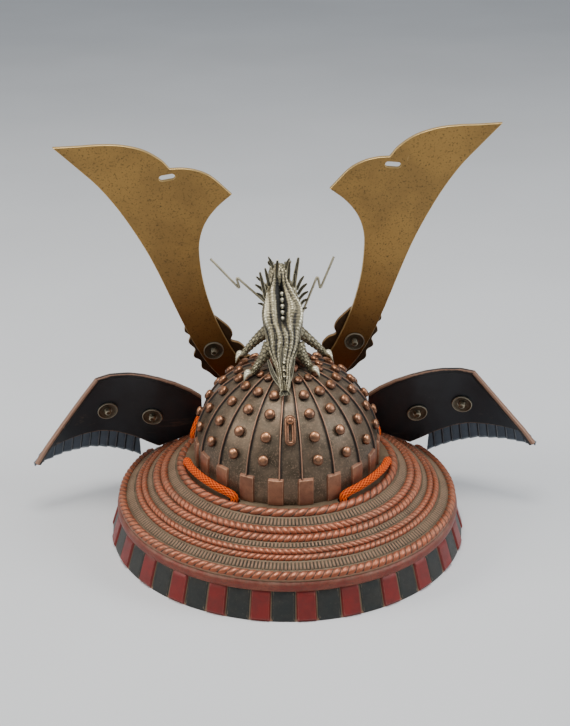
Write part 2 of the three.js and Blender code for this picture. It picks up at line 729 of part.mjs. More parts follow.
function makeWhisker(points) {
  const rings = [];
  const corners = points.map(([x, y, z]) => v3(x + DRAGON_X, y, z));
  const limits = corners.slice(1).map((corner, i) => corner.clone().sub(corners[i]).normalize());
  corners.forEach((corner, i) => {
    const before = limits[Math.max(0, i - 1)];
    const after = limits[Math.min(limits.length - 1, i)];
    const side = before.clone().add(after).normalize();
    const across = side.lengthSq() > 0.5 ? v3(-side.z, 0, side.x).normalize() : v3(0, 0, 1);
    const stretch = 1 / Math.max(0.35, Math.abs(side.dot(after)));
    rings.push([-1, 1].flatMap((s) => [-1, 1].map((t) => corner.clone()
      .addScaledVector(across, s * WHISKER_RADIUS * stretch)
      .addScaledVector(v3(0, 1, 0), s * t * WHISKER_RADIUS))));
  });
  return toSolid(loft(rings));
}

// ---- Apex seat, back ring and its pin ----

function makeApexSeat(swell) {
  const petals = 8;
  const rim = (lift, reach) => Array.from({ length: petals * 2 }, (_, i) => {
    const polar = reach * (i % 2 === 0 ? 1 : 0.78);
    return domePoint((i / (petals * 2)) * 360, polar, lift);
  });
  return toSolid(loft([rim(0, 13), rim(2.4 + swell, 13 + swell), rim(4.0 + swell, 8 + swell)]));
}

const RING = { polar: 53, length: 17, width: 6.2, rod: 1.05, lift: 2.1 };

function makeRing() {
  const { polar, length, width, rod, lift } = RING;
  const out = skinNormal(0, polar);
  const down = v3(1, 0, 0).cross(out).normalize();
  const middle = domePoint(0, polar, lift);
  const half = (width - 2 * rod) / 2;
  const run = (length - width) / 2;
  const points = [];
  for (const end of [1, -1]) {
    for (let k = 0; k <= 4; k++) {
      const turn = (k / 4) * Math.PI;
      const side = end * half * Math.cos(turn);
      const along = end * (run + half * Math.sin(turn));
      points.push(middle.clone().add(v3(side, 0, 0)).addScaledVector(down, along));
    }
  }
  const curve = new THREE.CatmullRomCurve3(points, true, 'centripetal');
  return toSolid(new THREE.TubeGeometry(curve, 20, rod, 6, true));
}

function makeRingPin() {
  const { polar, length, width, rod } = RING;
  const out = skinNormal(0, polar);
  const up = out.clone().cross(v3(1, 0, 0)).normalize();
  const reach = (length - width) / 2 + (width - 2 * rod) / 2 - rod - 0.95;
  const foot = domePoint(0, polar, 0).addScaledVector(up, reach);
  const profile = [
    [0, 0.75], [0.75, 0.75], [0.75, 3.6], [1.9, 4.0], [1.9, 4.8], [0.9, 5.6], [0, 5.6],
  ];
  return placeTurned(profile, foot, out, 8);
}

// ---- Assembly ----

const bowlKeepOut = bowlOutside(GAP);
const guardKeepOut = guardClearance();
const bowlInside = domeSolid(-CAST_WALL, BOWL_BASE - 3, 18, 4);
addMesh('bowl', toGeometry(bowlOutside(0).subtract(bowlInside)), copper);

const holes = joinAll(CORD_HOLES.map(cordHole));
const bowlFoot = bowlKeepOut.trimByPlane([0, 0, 1], LEDGE_HEIGHT + 0.02);
addMesh('neck_guard', toGeometry(makeNeckGuard().subtract(holes).subtract(bowlFoot)), ropeCopper);
addMesh('visor', toGeometry(makeVisor().subtract(holes)), copper);
const cord = new THREE.TubeGeometry(cordCurve(), 84, CORD_RADIUS, 6, true);
addMesh('chin_cord', toGeometry(toSolid(cord)), orangeSilk);

for (const [side, word] of [[-1, 'left'], [1, 'right']]) {
  addMesh(`${word}_wing`, toGeometry(makeWing(side, guardKeepOut)), blackPlate);
  addMesh(`${word}_pleated_strip`, toGeometry(makeStrip(side, guardKeepOut)), greyStrip);
  for (const screw of WING_SCREWS) {
    const { middle, backwards } = wingScrewFrame(side, screw);
    const seat = middle.clone().addScaledVector(backwards, SHEET / 2 + GAP);
    const label = `${word}_wing_${screw.name}`;
    addMesh(`${label}_washer`, makeWasher(seat, backwards), steel);
    addMesh(`${label}_screw`, makeScrew(middle, backwards, SHEET / 2 + GAP, SHEET / 2 + 3.2), steel);
  }
}

const crest = new THREE.Group();
crest.rotation.set(rad(CREST.lean), -rad(CREST.roll), rad(CREST.turn), 'ZYX');
crest.position.set(0, CREST.y, CREST.z);
group.add(crest);
const backwards = v3(0, -1, 0);
const hornShape = makeHornShape();
addMesh('horn_holder', toGeometry(crestPlate(makeHolderShape(), SHEET, SHEET / 2 + GAP, false)),
  darkBronze, crest);
for (const [side, word] of [[-1, 'left'], [1, 'right']]) {
  const horn = crestPlate(hornShape, SHEET, -SHEET / 2, side < 0);
  addMesh(`${word}_horn`, toGeometry(horn), goldBronze, crest);
  const middle = v3(side * HORN_SCREW_X, 0, 0);
  const seat = middle.clone().addScaledVector(backwards, SHEET / 2 + GAP);
  addMesh(`${word}_horn_washer`, makeWasher(seat, backwards), steel, crest);
  const headDepth = SHEET * 1.5 + 2 * GAP;
  addMesh(`${word}_horn_screw`, makeScrew(middle, backwards, headDepth, SHEET / 2 + 3.6), steel, crest);
}

addMesh('apex_seat', toGeometry(makeApexSeat(0).subtract(bowlKeepOut)), copper);
addMesh('dragon', toGeometry(makeDragon(bowlKeepOut.add(makeApexSeat(GAP)))), pewter);
for (const [name, points] of Object.entries(WHISKERS)) addMesh(name, toGeometry(makeWhisker(points)), pewter);
addMesh('back_ring', toGeometry(makeRing()), copper);
addMesh('ring_pin', makeRingPin(), copper);

// The origin is the middle of the helmet's box, at the height of the rim.
const box = new THREE.Box3().setFromObject(group, true);
const centre = box.getCenter(v3(0, 0, 0));
group.position.set(-centre.x, -centre.y, -box.min.z);

export default group;
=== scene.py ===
"""A small cast samurai helmet: riveted bowl, roped neck guard, black wings, bronze horns and a pewter dragon."""
import math

import bmesh
import bpy
import numpy as np
from mathutils import Matrix, Vector


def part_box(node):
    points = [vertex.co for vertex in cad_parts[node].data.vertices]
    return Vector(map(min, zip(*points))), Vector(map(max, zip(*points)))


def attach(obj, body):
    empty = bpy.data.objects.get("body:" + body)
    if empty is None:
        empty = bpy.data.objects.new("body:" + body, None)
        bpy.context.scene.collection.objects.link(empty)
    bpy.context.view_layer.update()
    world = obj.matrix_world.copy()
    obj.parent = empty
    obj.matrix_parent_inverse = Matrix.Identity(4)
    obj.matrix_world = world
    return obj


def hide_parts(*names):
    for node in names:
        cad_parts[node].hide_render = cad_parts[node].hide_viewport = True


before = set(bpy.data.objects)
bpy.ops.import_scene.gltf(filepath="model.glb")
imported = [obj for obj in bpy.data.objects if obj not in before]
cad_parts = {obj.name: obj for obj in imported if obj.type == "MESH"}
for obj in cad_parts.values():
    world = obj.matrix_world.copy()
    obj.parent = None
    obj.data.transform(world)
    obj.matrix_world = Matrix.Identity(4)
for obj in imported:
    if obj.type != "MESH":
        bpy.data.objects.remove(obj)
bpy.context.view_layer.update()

# ---------------------------------------------------------------------------
# Sizes of the helmet, in millimetres about the axis of its neck guard
# ---------------------------------------------------------------------------

MM = 0.001
SKIRT_RADIUS = 105.0
SKIRT_TOP_RADIUS = 99.6
SKIRT_TOP = 16.6
CAST_WALL = 2.6
SHEET = 2.2
GAP = 0.3
LEDGE = 43.9
LEDGE_INNER = 50.0
LEDGE_OUTER = 59.8
BRIM_SLOPE = 0.524
GUARD_FRONT = 50.0
PANEL_STEP = 360 / 26
PANEL_RED = 6.1
PANEL_SHIFT = 3.8
PANEL_RELIEF = 1.2

BOWL_HALF_WIDTH = 53.0
BOWL_HALF_LENGTH = 59.4
BOWL_CENTRE_Y = 3.5
BOWL_BASE = LEDGE + GAP
BOWL_SPRING = 53.0
BOWL_RISE = 50.5
RIB_FIRST = 6.7
RIB_STEP = 20.4
RIBS_PER_SIDE = 9
RIVET_ROWS = (20, 31.6, 43.9, 57.8, 71.6)
TAB_STEP = 18
TAB_WIDTH = 10
TAB_TOP = 60.0

axis_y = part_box("neck_guard")[0].y / MM + SKIRT_RADIUS


def place(x, y, z):
    """A point of the helmet, from millimetres about the neck guard's axis to the frame's metres."""
    return Vector((x * MM, (y + axis_y) * MM, z * MM))


def bearing(angle, radius, z):
    """A point at an angle from the back of the helmet, positive towards its wearer's right."""
    turn = math.radians(angle)
    return place(radius * math.sin(turn), -radius * math.cos(turn), z)


def smooth_step(low, high, value):
    t = np.clip((value - low) / (high - low), 0, 1)
    return t * t * (3 - 2 * t)


# ---------------------------------------------------------------------------
# Shader groups shared by the finishes
# ---------------------------------------------------------------------------


def new_group(name, inputs, outputs):
    """A shader group with named inputs (name, kind, default) and outputs (name, kind)."""
    tree = bpy.data.node_groups.new(name, "ShaderNodeTree")
    for label, kind, default in inputs:
        socket = tree.interface.new_socket(label, in_out="INPUT", socket_type=f"NodeSocket{kind}")
        socket.default_value = default
    for label, kind in outputs:
        tree.interface.new_socket(label, in_out="OUTPUT", socket_type=f"NodeSocket{kind}")
    return tree, tree.nodes.new("NodeGroupInput").outputs, tree.nodes.new("NodeGroupOutput").inputs


def add(tree, kind, values=None, **settings):
    """A node with its settings made and its inputs filled, by socket or by plain value."""
    node = tree.nodes.new(f"ShaderNode{kind}")
    for key, value in settings.items():
        setattr(node, key, value)
    for key, value in (values or {}).items():
        if isinstance(value, bpy.types.NodeSocket):
            tree.links.new(value, node.inputs[key])
        else:
            node.inputs[key].default_value = value
    return node


def math_of(tree, operation, first, second=0.0, clamp=False):
    return add(tree, "Math", {0: first, 1: second}, operation=operation, use_clamp=clamp).outputs[0]


def ramp_of(tree, value, low, high, start=0.0, end=1.0):
    values = {"Value": value, "From Min": low, "From Max": high, "To Min": start, "To Max": end}
    return add(tree, "MapRange", values, interpolation_type="SMOOTHSTEP").outputs[0]


def noise_of(tree, scale, detail=3.0, roughness=0.55, vector=None, distortion=0.0):
    where = vector or add(tree, "TexCoord").outputs["Object"]
    values = {"Vector": where, "Scale": scale, "Detail": detail, "Roughness": roughness}
    values["Distortion"] = distortion
    return add(tree, "TexNoise", values).outputs["Fac"]


def blend_of(tree, mask, first, second):
    node = add(tree, "Mix", data_type="RGBA")
    for key, value in ((0, mask), (6, first), (7, second)):
        if isinstance(value, bpy.types.NodeSocket):
            tree.links.new(value, node.inputs[key])
        else:
            node.inputs[key].default_value = value
    return node.outputs[2]


# Light where the relief is high: rubbed edges, and painted highlights where a piece raises its relief for light.
def make_worn_edges_and_highlights():
    inputs = (("Relief", "Float", 0.5), ("Start", "Float", 0.6), ("Full", "Float", 0.9),
              ("Breakup Scale", "Float", 600.0), ("Breakup", "Float", 0.3))
    tree, taken, given = new_group("worn edges and painted highlights", inputs, (("Mask", "Float"),))
    speckle = noise_of(tree, taken["Breakup Scale"], 4.0, 0.65)
    centred = math_of(tree, "SUBTRACT", speckle, 0.5)
    shifted = math_of(tree, "ADD", taken["Relief"], math_of(tree, "MULTIPLY", centred, taken["Breakup"]))
    mask = ramp_of(tree, shifted, taken["Start"], taken["Full"])
    tree.links.new(mask, given["Mask"])
    return tree


# Dark where the relief is low: dirt in the hollows, and painted shade where a piece lowers its relief for shade.
def make_hollow_dirt_and_shade():
    inputs = (("Relief", "Float", 0.5), ("Depth", "Float", 0.45), ("Breakup Scale", "Float", 400.0),
              ("Breakup", "Float", 0.25))
    tree, taken, given = new_group("dirt and painted shade in hollows", inputs, (("Mask", "Float"),))
    speckle = math_of(tree, "SUBTRACT", noise_of(tree, taken["Breakup Scale"], 3.0), 0.5)
    shifted = math_of(tree, "ADD", taken["Relief"], math_of(tree, "MULTIPLY", speckle, taken["Breakup"]))
    low = math_of(tree, "SUBTRACT", taken["Depth"], 0.3)
    mask = add(tree, "MapRange", {"Value": shifted, "From Min": low, "From Max": taken["Depth"],
                                  "To Min": 1.0, "To Max": 0.0}, interpolation_type="SMOOTHSTEP")
    tree.links.new(mask.outputs[0], given["Mask"])
    return tree


def make_patina():
    inputs = (("Ground", "Color", (0.5, 0.5, 0.5, 1)), ("Cloud", "Color", (0.4, 0.4, 0.4, 1)),
              ("Fleck", "Color", (0.3, 0.3, 0.3, 1)), ("Cloud Scale", "Float", 60.0),
              ("Fleck Scale", "Float", 900.0), ("Fleck Share", "Float", 0.35))
    tree, taken, given = new_group("patina", inputs, (("Color", "Color"), ("Fleck Mask", "Float")))
    cloud = ramp_of(tree, noise_of(tree, taken["Cloud Scale"], 5.0, 0.6, distortion=0.4), 0.35, 0.68)
    base = blend_of(tree, cloud, taken["Ground"], taken["Cloud"])
    fleck = noise_of(tree, taken["Fleck Scale"], 3.0, 0.7)
    edge = math_of(tree, "SUBTRACT", 0.75, math_of(tree, "MULTIPLY", taken["Fleck Share"], 0.4))
    high = math_of(tree, "ADD", edge, 0.12)
    spots = add(tree, "MapRange", {"Value": fleck, "From Min": edge, "From Max": high}).outputs[0]
    tree.links.new(blend_of(tree, spots, base, taken["Fleck"]), given["Color"])
    tree.links.new(spots, given["Fleck Mask"])
    return tree


def make_settled_dust():
    inputs = (("Amount", "Float", 0.3), ("Scale", "Float", 120.0))
    tree, taken, given = new_group("settled dust", inputs, (("Mask", "Float"),))
    up = add(tree, "SeparateXYZ", {0: add(tree, "NewGeometry").outputs["Normal"]}).outputs["Z"]
    facing = ramp_of(tree, up, 0.1, 0.95)
    patches = ramp_of(tree, noise_of(tree, taken["Scale"], 5.0, 0.65), 0.3, 0.75)
    mask = math_of(tree, "MULTIPLY", math_of(tree, "MULTIPLY", facing, patches), taken["Amount"], True)
    tree.links.new(mask, given["Mask"])
    return tree


def make_cast_grain():
    inputs = (("Fine Scale", "Float", 1800.0), ("Coarse Scale", "Float", 350.0), ("Coarse Share", "Float", 0.6))
    tree, taken, given = new_group("cast grain", inputs, (("Height", "Float"),))
    fine = noise_of(tree, taken["Fine Scale"], 2.0, 0.6)
    coarse = noise_of(tree, taken["Coarse Scale"], 4.0, 0.55)
    height = math_of(tree, "ADD", fine, math_of(tree, "MULTIPLY", coarse, taken["Coarse Share"]))
    tree.links.new(height, given["Height"])
    return tree


def make_hand_scratches():
    inputs = (("Scale", "Float", 160.0), ("Stretch", "Vector", (1.0, 1.0, 0.06)), ("Share", "Float", 0.3))
    tree, taken, given = new_group("hand scratches", inputs, (("Mask", "Float"),))
    where = add(tree, "VectorMath", {0: add(tree, "TexCoord").outputs["Object"], 1: taken["Stretch"]},
                operation="MULTIPLY").outputs[0]
    lines = noise_of(tree, taken["Scale"], 6.0, 0.75, where)
    edge = math_of(tree, "SUBTRACT", 0.72, math_of(tree, "MULTIPLY", taken["Share"], 0.3))
    high = math_of(tree, "ADD", edge, 0.1)
    mask = add(tree, "MapRange", {"Value": lines, "From Min": edge, "From Max": high}).outputs[0]
    tree.links.new(mask, given["Mask"])
    return tree


GROUPS = {
    "edges": make_worn_edges_and_highlights(),
    "grime_and_shade": make_hollow_dirt_and_shade(),
    "patina": make_patina(),
    "dust": make_settled_dust(),
    "grain": make_cast_grain(),
    "scratches": make_hand_scratches(),
}


def use_group(tree, key, values):
    node = tree.nodes.new("ShaderNodeGroup")
    node.node_tree = GROUPS[key]
    for label, value in values.items():
        if isinstance(value, bpy.types.NodeSocket):
            tree.links.new(value, node.inputs[label])
        else:
            node.inputs[label].default_value = value
    return node


def tint(red, green, blue):
    """A colour given in everyday 0 to 255 steps, as the linear values that the shaders take."""
    def linear(step):
        share = step / 255
        return share / 12.92 if share <= 0.04045 else ((share + 0.055) / 1.055) ** 2.4
    return (linear(red), linear(green), linear(blue), 1.0)


# ---------------------------------------------------------------------------
# Finishes
# ---------------------------------------------------------------------------


def metal_finish(name, ground, cloud, fleck, hollow, worn, dust=tint(150, 138, 118), *,
                 metallic=0.75, rough=(0.38, 0.6), edge=(0.56, 0.75), edge_breakup=0.25,
                 hollow_depth=0.42, dust_amount=0.3, cloud_scale=60, fleck_scale=900,
                 fleck_share=0.35, grain=(1800, 350, 0.6), bump=0.08, scratch_share=0.0,
                 scratch=(170, (1, 1, 0.06)), specular=0.5):
    """An aged metal: patina, dirt and painted shade in the hollows, rubbed edges and painted highlights where the
    relief is high, settled dust and a cast skin.
    """
    material = bpy.data.materials.new(name)
    material.use_nodes = True
    tree = material.node_tree
    shader = tree.nodes["Principled BSDF"]
    relief = add(tree, "Attribute", attribute_name="relief").outputs["Fac"]
    patina = use_group(tree, "patina", {
        "Ground": ground, "Cloud": cloud, "Fleck": fleck, "Cloud Scale": cloud_scale,
        "Fleck Scale": fleck_scale, "Fleck Share": fleck_share})
    # The hollow colour is dirt and painted shade, the rubbed colour is wear and painted highlights, as each piece's
    # relief sets them.
    grime_and_shade = use_group(tree, "grime_and_shade", {"Relief": relief, "Depth": hollow_depth})
    edges = use_group(tree, "edges", {
        "Relief": relief, "Start": edge[0], "Full": edge[1], "Breakup": edge_breakup})
    dusty = use_group(tree, "dust", {"Amount": dust_amount})
    color = blend_of(tree, grime_and_shade.outputs["Mask"], patina.outputs["Color"], hollow)
    color = blend_of(tree, dusty.outputs["Mask"], color, dust)
    color = blend_of(tree, edges.outputs["Mask"], color, worn)
    if scratch_share > 0:
        marks = use_group(tree, "scratches", {
            "Scale": scratch[0], "Stretch": scratch[1], "Share": scratch_share})
        color = blend_of(tree, math_of(tree, "MULTIPLY", marks.outputs["Mask"], 0.5), color, worn)
    tree.links.new(color, shader.inputs["Base Color"])
    dull = math_of(tree, "MAXIMUM", dusty.outputs["Mask"], grime_and_shade.outputs["Mask"])
    uneven = noise_of(tree, cloud_scale * 2.5, 4.0)
    level = math_of(tree, "ADD", math_of(tree, "MULTIPLY", dull, 0.7), math_of(tree, "MULTIPLY", uneven, 0.5))
    tree.links.new(ramp_of(tree, level, 0.0, 1.0, rough[0], rough[1] + 0.15), shader.inputs["Roughness"])
    metal = ramp_of(tree, dull, 0.0, 1.0, metallic, metallic * 0.35)
    tree.links.new(metal, shader.inputs["Metallic"])
    skin = use_group(tree, "grain", {
        "Fine Scale": grain[0], "Coarse Scale": grain[1], "Coarse Share": grain[2]})
    bumps = add(tree, "Bump", {"Height": skin.outputs["Height"], "Strength": bump, "Distance": 0.0008})
    tree.links.new(bumps.outputs["Normal"], shader.inputs["Normal"])
    shader.inputs["Specular IOR Level"].default_value = specular
    return material


bowl_copper = metal_finish(
    "bowl copper", tint(106, 89, 72), tint(74, 63, 49), tint(128, 106, 86), tint(28, 23, 19),
    tint(176, 132, 104), metallic=0.65, rough=(0.4, 0.62), dust_amount=0.3,
    scratch_share=0.3, scratch=(220, (1, 1, 0.05)), cloud_scale=85, fleck_share=0.55, bump=0.12)
rivet_copper = metal_finish(
    "rivet copper", tint(134, 94, 70), tint(104, 76, 60), tint(158, 112, 84), tint(36, 28, 24),
    tint(208, 148, 108), metallic=0.85, rough=(0.33, 0.48), edge=(0.68, 0.92), dust_amount=0.05,
    cloud_scale=160, bump=0.08)
tab_copper = metal_finish(
    "tab copper", tint(146, 100, 74), tint(118, 78, 60), tint(104, 76, 60), tint(44, 34, 28),
    tint(180, 138, 108), metallic=0.6, rough=(0.46, 0.64), edge=(0.78, 1.15), edge_breakup=0.5, dust_amount=0.15,
    cloud_scale=90, bump=0.12)
rib_copper = metal_finish(
    "rib copper", tint(146, 104, 80), tint(120, 88, 70), tint(104, 80, 66), tint(34, 28, 24),
    tint(196, 156, 128), metallic=0.7, rough=(0.4, 0.58), edge=(0.7, 1.0), dust_amount=0.1,
    cloud_scale=90, bump=0.1)
rope_copper = metal_finish(
    "rope copper", tint(158, 84, 54), tint(136, 78, 54), tint(104, 74, 54), tint(50, 41, 33),
    tint(200, 134, 106), metallic=0.6, rough=(0.4, 0.62), edge=(0.86, 1.05), hollow_depth=0.52,
    dust_amount=0.2, cloud_scale=70, bump=0.12)
brim_copper = metal_finish(
    "brim copper", tint(112, 94, 74), tint(96, 80, 62), tint(136, 110, 86), tint(40, 33, 26),
    tint(150, 112, 88), metallic=0.5, rough=(0.5, 0.7), dust=tint(132, 116, 92), dust_amount=0.4,
    cloud_scale=80, bump=0.16)
red_enamel = metal_finish(
    "red panel enamel", tint(122, 30, 26), tint(104, 27, 24), tint(88, 30, 26), tint(44, 20, 18),
    tint(136, 74, 62), metallic=0.25, rough=(0.38, 0.58), edge=(0.8, 1.15), edge_breakup=0.5, dust_amount=0.15,
    cloud_scale=120, bump=0.08)
red_band = metal_finish(
    "worn red band", tint(112, 42, 32), tint(124, 62, 46), tint(96, 52, 40), tint(52, 26, 20),
    tint(160, 96, 72), metallic=0.35, rough=(0.42, 0.62), edge=(0.66, 0.95), dust_amount=0.45,
    cloud_scale=90, fleck_share=0.6, bump=0.18)
black_enamel = metal_finish(
    "black panel enamel", tint(38, 41, 39), tint(30, 32, 31), tint(62, 62, 54), tint(13, 13, 12),
    tint(104, 94, 76), metallic=0.3, rough=(0.42, 0.62), edge=(0.74, 1.05), edge_breakup=0.5, dust_amount=0.4,
    cloud_scale=120, bump=0.1)
# Near-black lacquer with its colour lifted and tinted blue: a painted bluish sheen.
wing_black = metal_finish(
    "black wing plate", tint(36, 41, 46), tint(28, 32, 36), tint(46, 50, 54), tint(8, 9, 10),
    tint(120, 100, 84), metallic=0.3, rough=(0.36, 0.52), edge=(0.74, 0.95), dust_amount=0.1,
    cloud_scale=40, bump=0.06, scratch_share=0.35, scratch=(90, (0.1, 1, 1)))
wing_rim = metal_finish(
    "rubbed wing rim", tint(36, 38, 40), tint(28, 30, 32), tint(52, 48, 44), tint(7, 7, 8),
    tint(150, 116, 96), metallic=0.5, rough=(0.42, 0.6), edge=(0.6, 0.8), hollow_depth=0.4, dust_amount=0.05,
    cloud_scale=120, bump=0.08)
strip_iron = metal_finish(
    "pleated strip iron", tint(66, 74, 84), tint(54, 62, 72), tint(82, 90, 98), tint(26, 29, 33),
    tint(116, 124, 130), metallic=0.5, rough=(0.4, 0.58), edge=(0.56, 0.72), dust_amount=0.15,
    cloud_scale=90, bump=0.08)
holder_bronze = metal_finish(
    "horn holder bronze", tint(84, 66, 46), tint(66, 52, 38), tint(110, 84, 54), tint(30, 24, 18),
    tint(132, 104, 70), metallic=0.75, rough=(0.42, 0.6), dust_amount=0.1, cloud_scale=110, bump=0.12)
washer_steel = metal_finish(
    "washer steel", tint(92, 86, 72), tint(76, 70, 58), tint(112, 104, 88), tint(30, 27, 22),
    tint(150, 142, 124), metallic=0.85, rough=(0.34, 0.5), dust_amount=0.1, cloud_scale=220, bump=0.06)
screw_steel = metal_finish(
    "screw steel", tint(92, 84, 68), tint(72, 64, 50), tint(58, 50, 38), tint(18, 16, 13),
    tint(150, 142, 122), metallic=0.9, rough=(0.28, 0.45), dust_amount=0.0, cloud_scale=400, bump=0.05)
dragon_pewter = metal_finish(
    "dragon pewter", tint(142, 134, 108), tint(122, 114, 90), tint(96, 88, 68), tint(12, 11, 8),
    tint(222, 216, 190), metallic=0.7, rough=(0.3, 0.5), edge=(0.62, 0.92), hollow_depth=0.56,
    dust_amount=0.1, cloud_scale=260, bump=0.1)
whisker_wire = metal_finish(
    "whisker wire", tint(104, 95, 74), tint(82, 74, 58), tint(66, 58, 44), tint(30, 26, 20),
    tint(170, 162, 138), metallic=0.6, rough=(0.4, 0.55), dust_amount=0.0, cloud_scale=400, bump=0.05)


def make_horn_bronze(foot, top):
    """Gold bronze that darkens to brown at the horn's foot, with dark specks and a brushed skin."""
    material = metal_finish(
        "horn bronze", tint(156, 122, 68), tint(138, 108, 62), tint(86, 70, 44), tint(64, 50, 30),
        tint(196, 164, 108), metallic=0.8, rough=(0.36, 0.52), dust_amount=0.0, cloud_scale=32,
        fleck_scale=900, fleck_share=0.5, bump=0.1, scratch_share=0.15, scratch=(140, (1, 1, 0.08)))
    tree = material.node_tree
    shader = tree.nodes["Principled BSDF"]
    color = shader.inputs["Base Color"].links[0].from_socket
    height = add(tree, "SeparateXYZ", {0: add(tree, "TexCoord").outputs["Object"]}).outputs["Z"]
    drift = math_of(tree, "MULTIPLY", noise_of(tree, 30, 4.0), 0.03)
    brown = ramp_of(tree, math_of(tree, "ADD", height, drift), foot + 0.02, top + 0.02, 1.0, 0.0)
    shaded = blend_of(tree, math_of(tree, "MULTIPLY", brown, 0.85), color, tint(98, 58, 22))
    tree.links.new(shaded, shader.inputs["Base Color"])
    return material


def make_cord_silk():
    """Orange braided silk: a painted highlight on the crown of each strand and painted shade, deep orange, between
    them.
    """
    material = bpy.data.materials.new("orange silk braid")
    material.use_nodes = True
    tree = material.node_tree
    shader = tree.nodes["Principled BSDF"]
    relief = add(tree, "Attribute", attribute_name="relief").outputs["Fac"]
    hairs = noise_of(tree, 3800, 3.0, 0.7)
    strand = ramp_of(tree, math_of(tree, "ADD", relief, math_of(tree, "MULTIPLY", hairs, 0.2)), 0.25, 0.85)
    # Painted shade between the strands, deep orange, where the relief is low.
    color = blend_of(tree, strand, tint(86, 16, 0), tint(218, 78, 0))
    # Painted highlight, pale orange, on the crown of each strand.
    painted_light = ramp_of(tree, relief, 0.72, 1.0)
    color = blend_of(tree, math_of(tree, "MULTIPLY", painted_light, 0.6), color, tint(246, 150, 30))
    tree.links.new(color, shader.inputs["Base Color"])
    bumps = add(tree, "Bump", {"Height": hairs, "Strength": 0.25, "Distance": 0.0003})
    tree.links.new(bumps.outputs["Normal"], shader.inputs["Normal"])
    tree.links.new(ramp_of(tree, relief, 0.0, 1.0, 0.85, 0.6), shader.inputs["Roughness"])
    shader.inputs["Specular IOR Level"].default_value = 0.15
    shader.inputs["Sheen Weight"].default_value = 0.05
    shader.inputs["Sheen Roughness"].default_value = 0.5
    return material


# ---------------------------------------------------------------------------
# Mesh helpers
# ---------------------------------------------------------------------------


def relief_of(mesh, gain, passes):
    """How far each vertex stands out of its surroundings: 0 in a hollow, 0.5 on a flat, 1 on a ridge."""
    count = len(mesh.vertices)
    place_of = np.empty(count * 3)
    mesh.vertices.foreach_get("co", place_of)
    place_of = place_of.reshape(-1, 3)
    normal = np.array([v.vector for v in mesh.vertex_normals])
    edges = np.empty(len(mesh.edges) * 2, dtype=np.int64)
    mesh.edges.foreach_get("vertices", edges)
    first, second = edges.reshape(-1, 2).T
    along = place_of[second] - place_of[first]
    length = np.maximum(np.linalg.norm(along, axis=1), 1e-9)
    along /= length[:, None]
    bend = np.zeros(count)
    share = np.zeros(count)
    np.add.at(bend, first, -np.einsum("ij,ij->i", along, normal[first]))
    np.add.at(bend, second, np.einsum("ij,ij->i", along, normal[second]))
    np.add.at(share, first, 1)
    np.add.at(share, second, 1)
    share = np.maximum(share, 1)
    bend /= share
    for _ in range(passes):
        spread = np.zeros(count)
        np.add.at(spread, first, bend[second])
        np.add.at(spread, second, bend[first])
        bend = 0.5 * bend + 0.5 * spread / share
    return np.clip(0.5 + gain * bend, 0, 1)


def make_piece(name, points, faces, finish, replaces=(), relief=None, gain=1.6, passes=1, sharp=40):
    """A finished piece of the helmet from points in metres. Relief may be given for each point."""
    mesh = bpy.data.meshes.new(name)
    mesh.from_pydata([tuple(p) for p in points], [], [tuple(f) for f in faces])
    mesh.validate()
    shell = bmesh.new()
    shell.from_mesh(mesh)
    bmesh.ops.recalc_face_normals(shell, faces=shell.faces)
    shell.to_mesh(mesh)
    shell.free()
    mesh.update()
    values = relief_of(mesh, gain, passes) if relief is None else np.clip(np.asarray(relief, float), 0, 1)
    mesh.attributes.new("relief", "FLOAT", "POINT").data.foreach_set("value", values.astype(np.float32))
    mesh.shade_smooth()
    mesh.set_sharp_from_angle(angle=math.radians(sharp))
    mesh.materials.append(finish)
    piece = bpy.data.objects.new(name, mesh)
    bpy.context.scene.collection.objects.link(piece)
    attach(piece, "root")
    if replaces:
        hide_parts(*replaces)
    return piece


class Parts:
    """Points, faces and relief gathered from several small forms into one piece."""

    def __init__(self):
        self.points, self.faces, self.relief = [], [], []

    def add(self, points, faces, relief=None):
        start = len(self.points)
        self.points.extend(points)
        self.faces.extend([tuple(start + i for i in face) for face in faces])
        self.relief.extend(relief if relief is not None else [0.5] * len(points))


def sheet_faces(rows, columns, wrap_rows=False, wrap_columns=False):
    faces = []
    for r in range(rows if wrap_rows else rows - 1):
        for c in range(columns if wrap_columns else columns - 1):
            below, beside = (r + 1) % rows, (c + 1) % columns
            faces.append((r * columns + c, r * columns + beside, below * columns + beside, below * columns + c))
    return faces


def tube_forms(rings, capped=True):
    """Points and faces of a closed body through rings of equal count."""
    count = len(rings[0])
    points = [p for ring in rings for p in ring]
    faces = [tuple(reversed(f)) for f in sheet_faces(len(rings), count, wrap_columns=True)]
    if capped:
        faces.append(tuple(range(count)))
        faces.append(tuple(reversed(range(len(points) - count, len(points)))))
    return points, faces


def catmull(points, steps):
    """A smooth run of points through the given ones."""
    rows = [np.array(p, float) for p in points]
    rows = [2 * rows[0] - rows[1], *rows, 2 * rows[-1] - rows[-2]]
    spans = len(points) - 1
    made = []
    for s in range(steps + 1):
        t = s / steps * spans
        i = min(int(t), spans - 1)
        t -= i
        a, b, c, d = rows[i:i + 4]
        made.append(0.5 * (2 * b + (c - a) * t + (2 * a - 5 * b + 4 * c - d) * t * t
                           + (3 * b - a - 3 * c + d) * t ** 3))
    return made


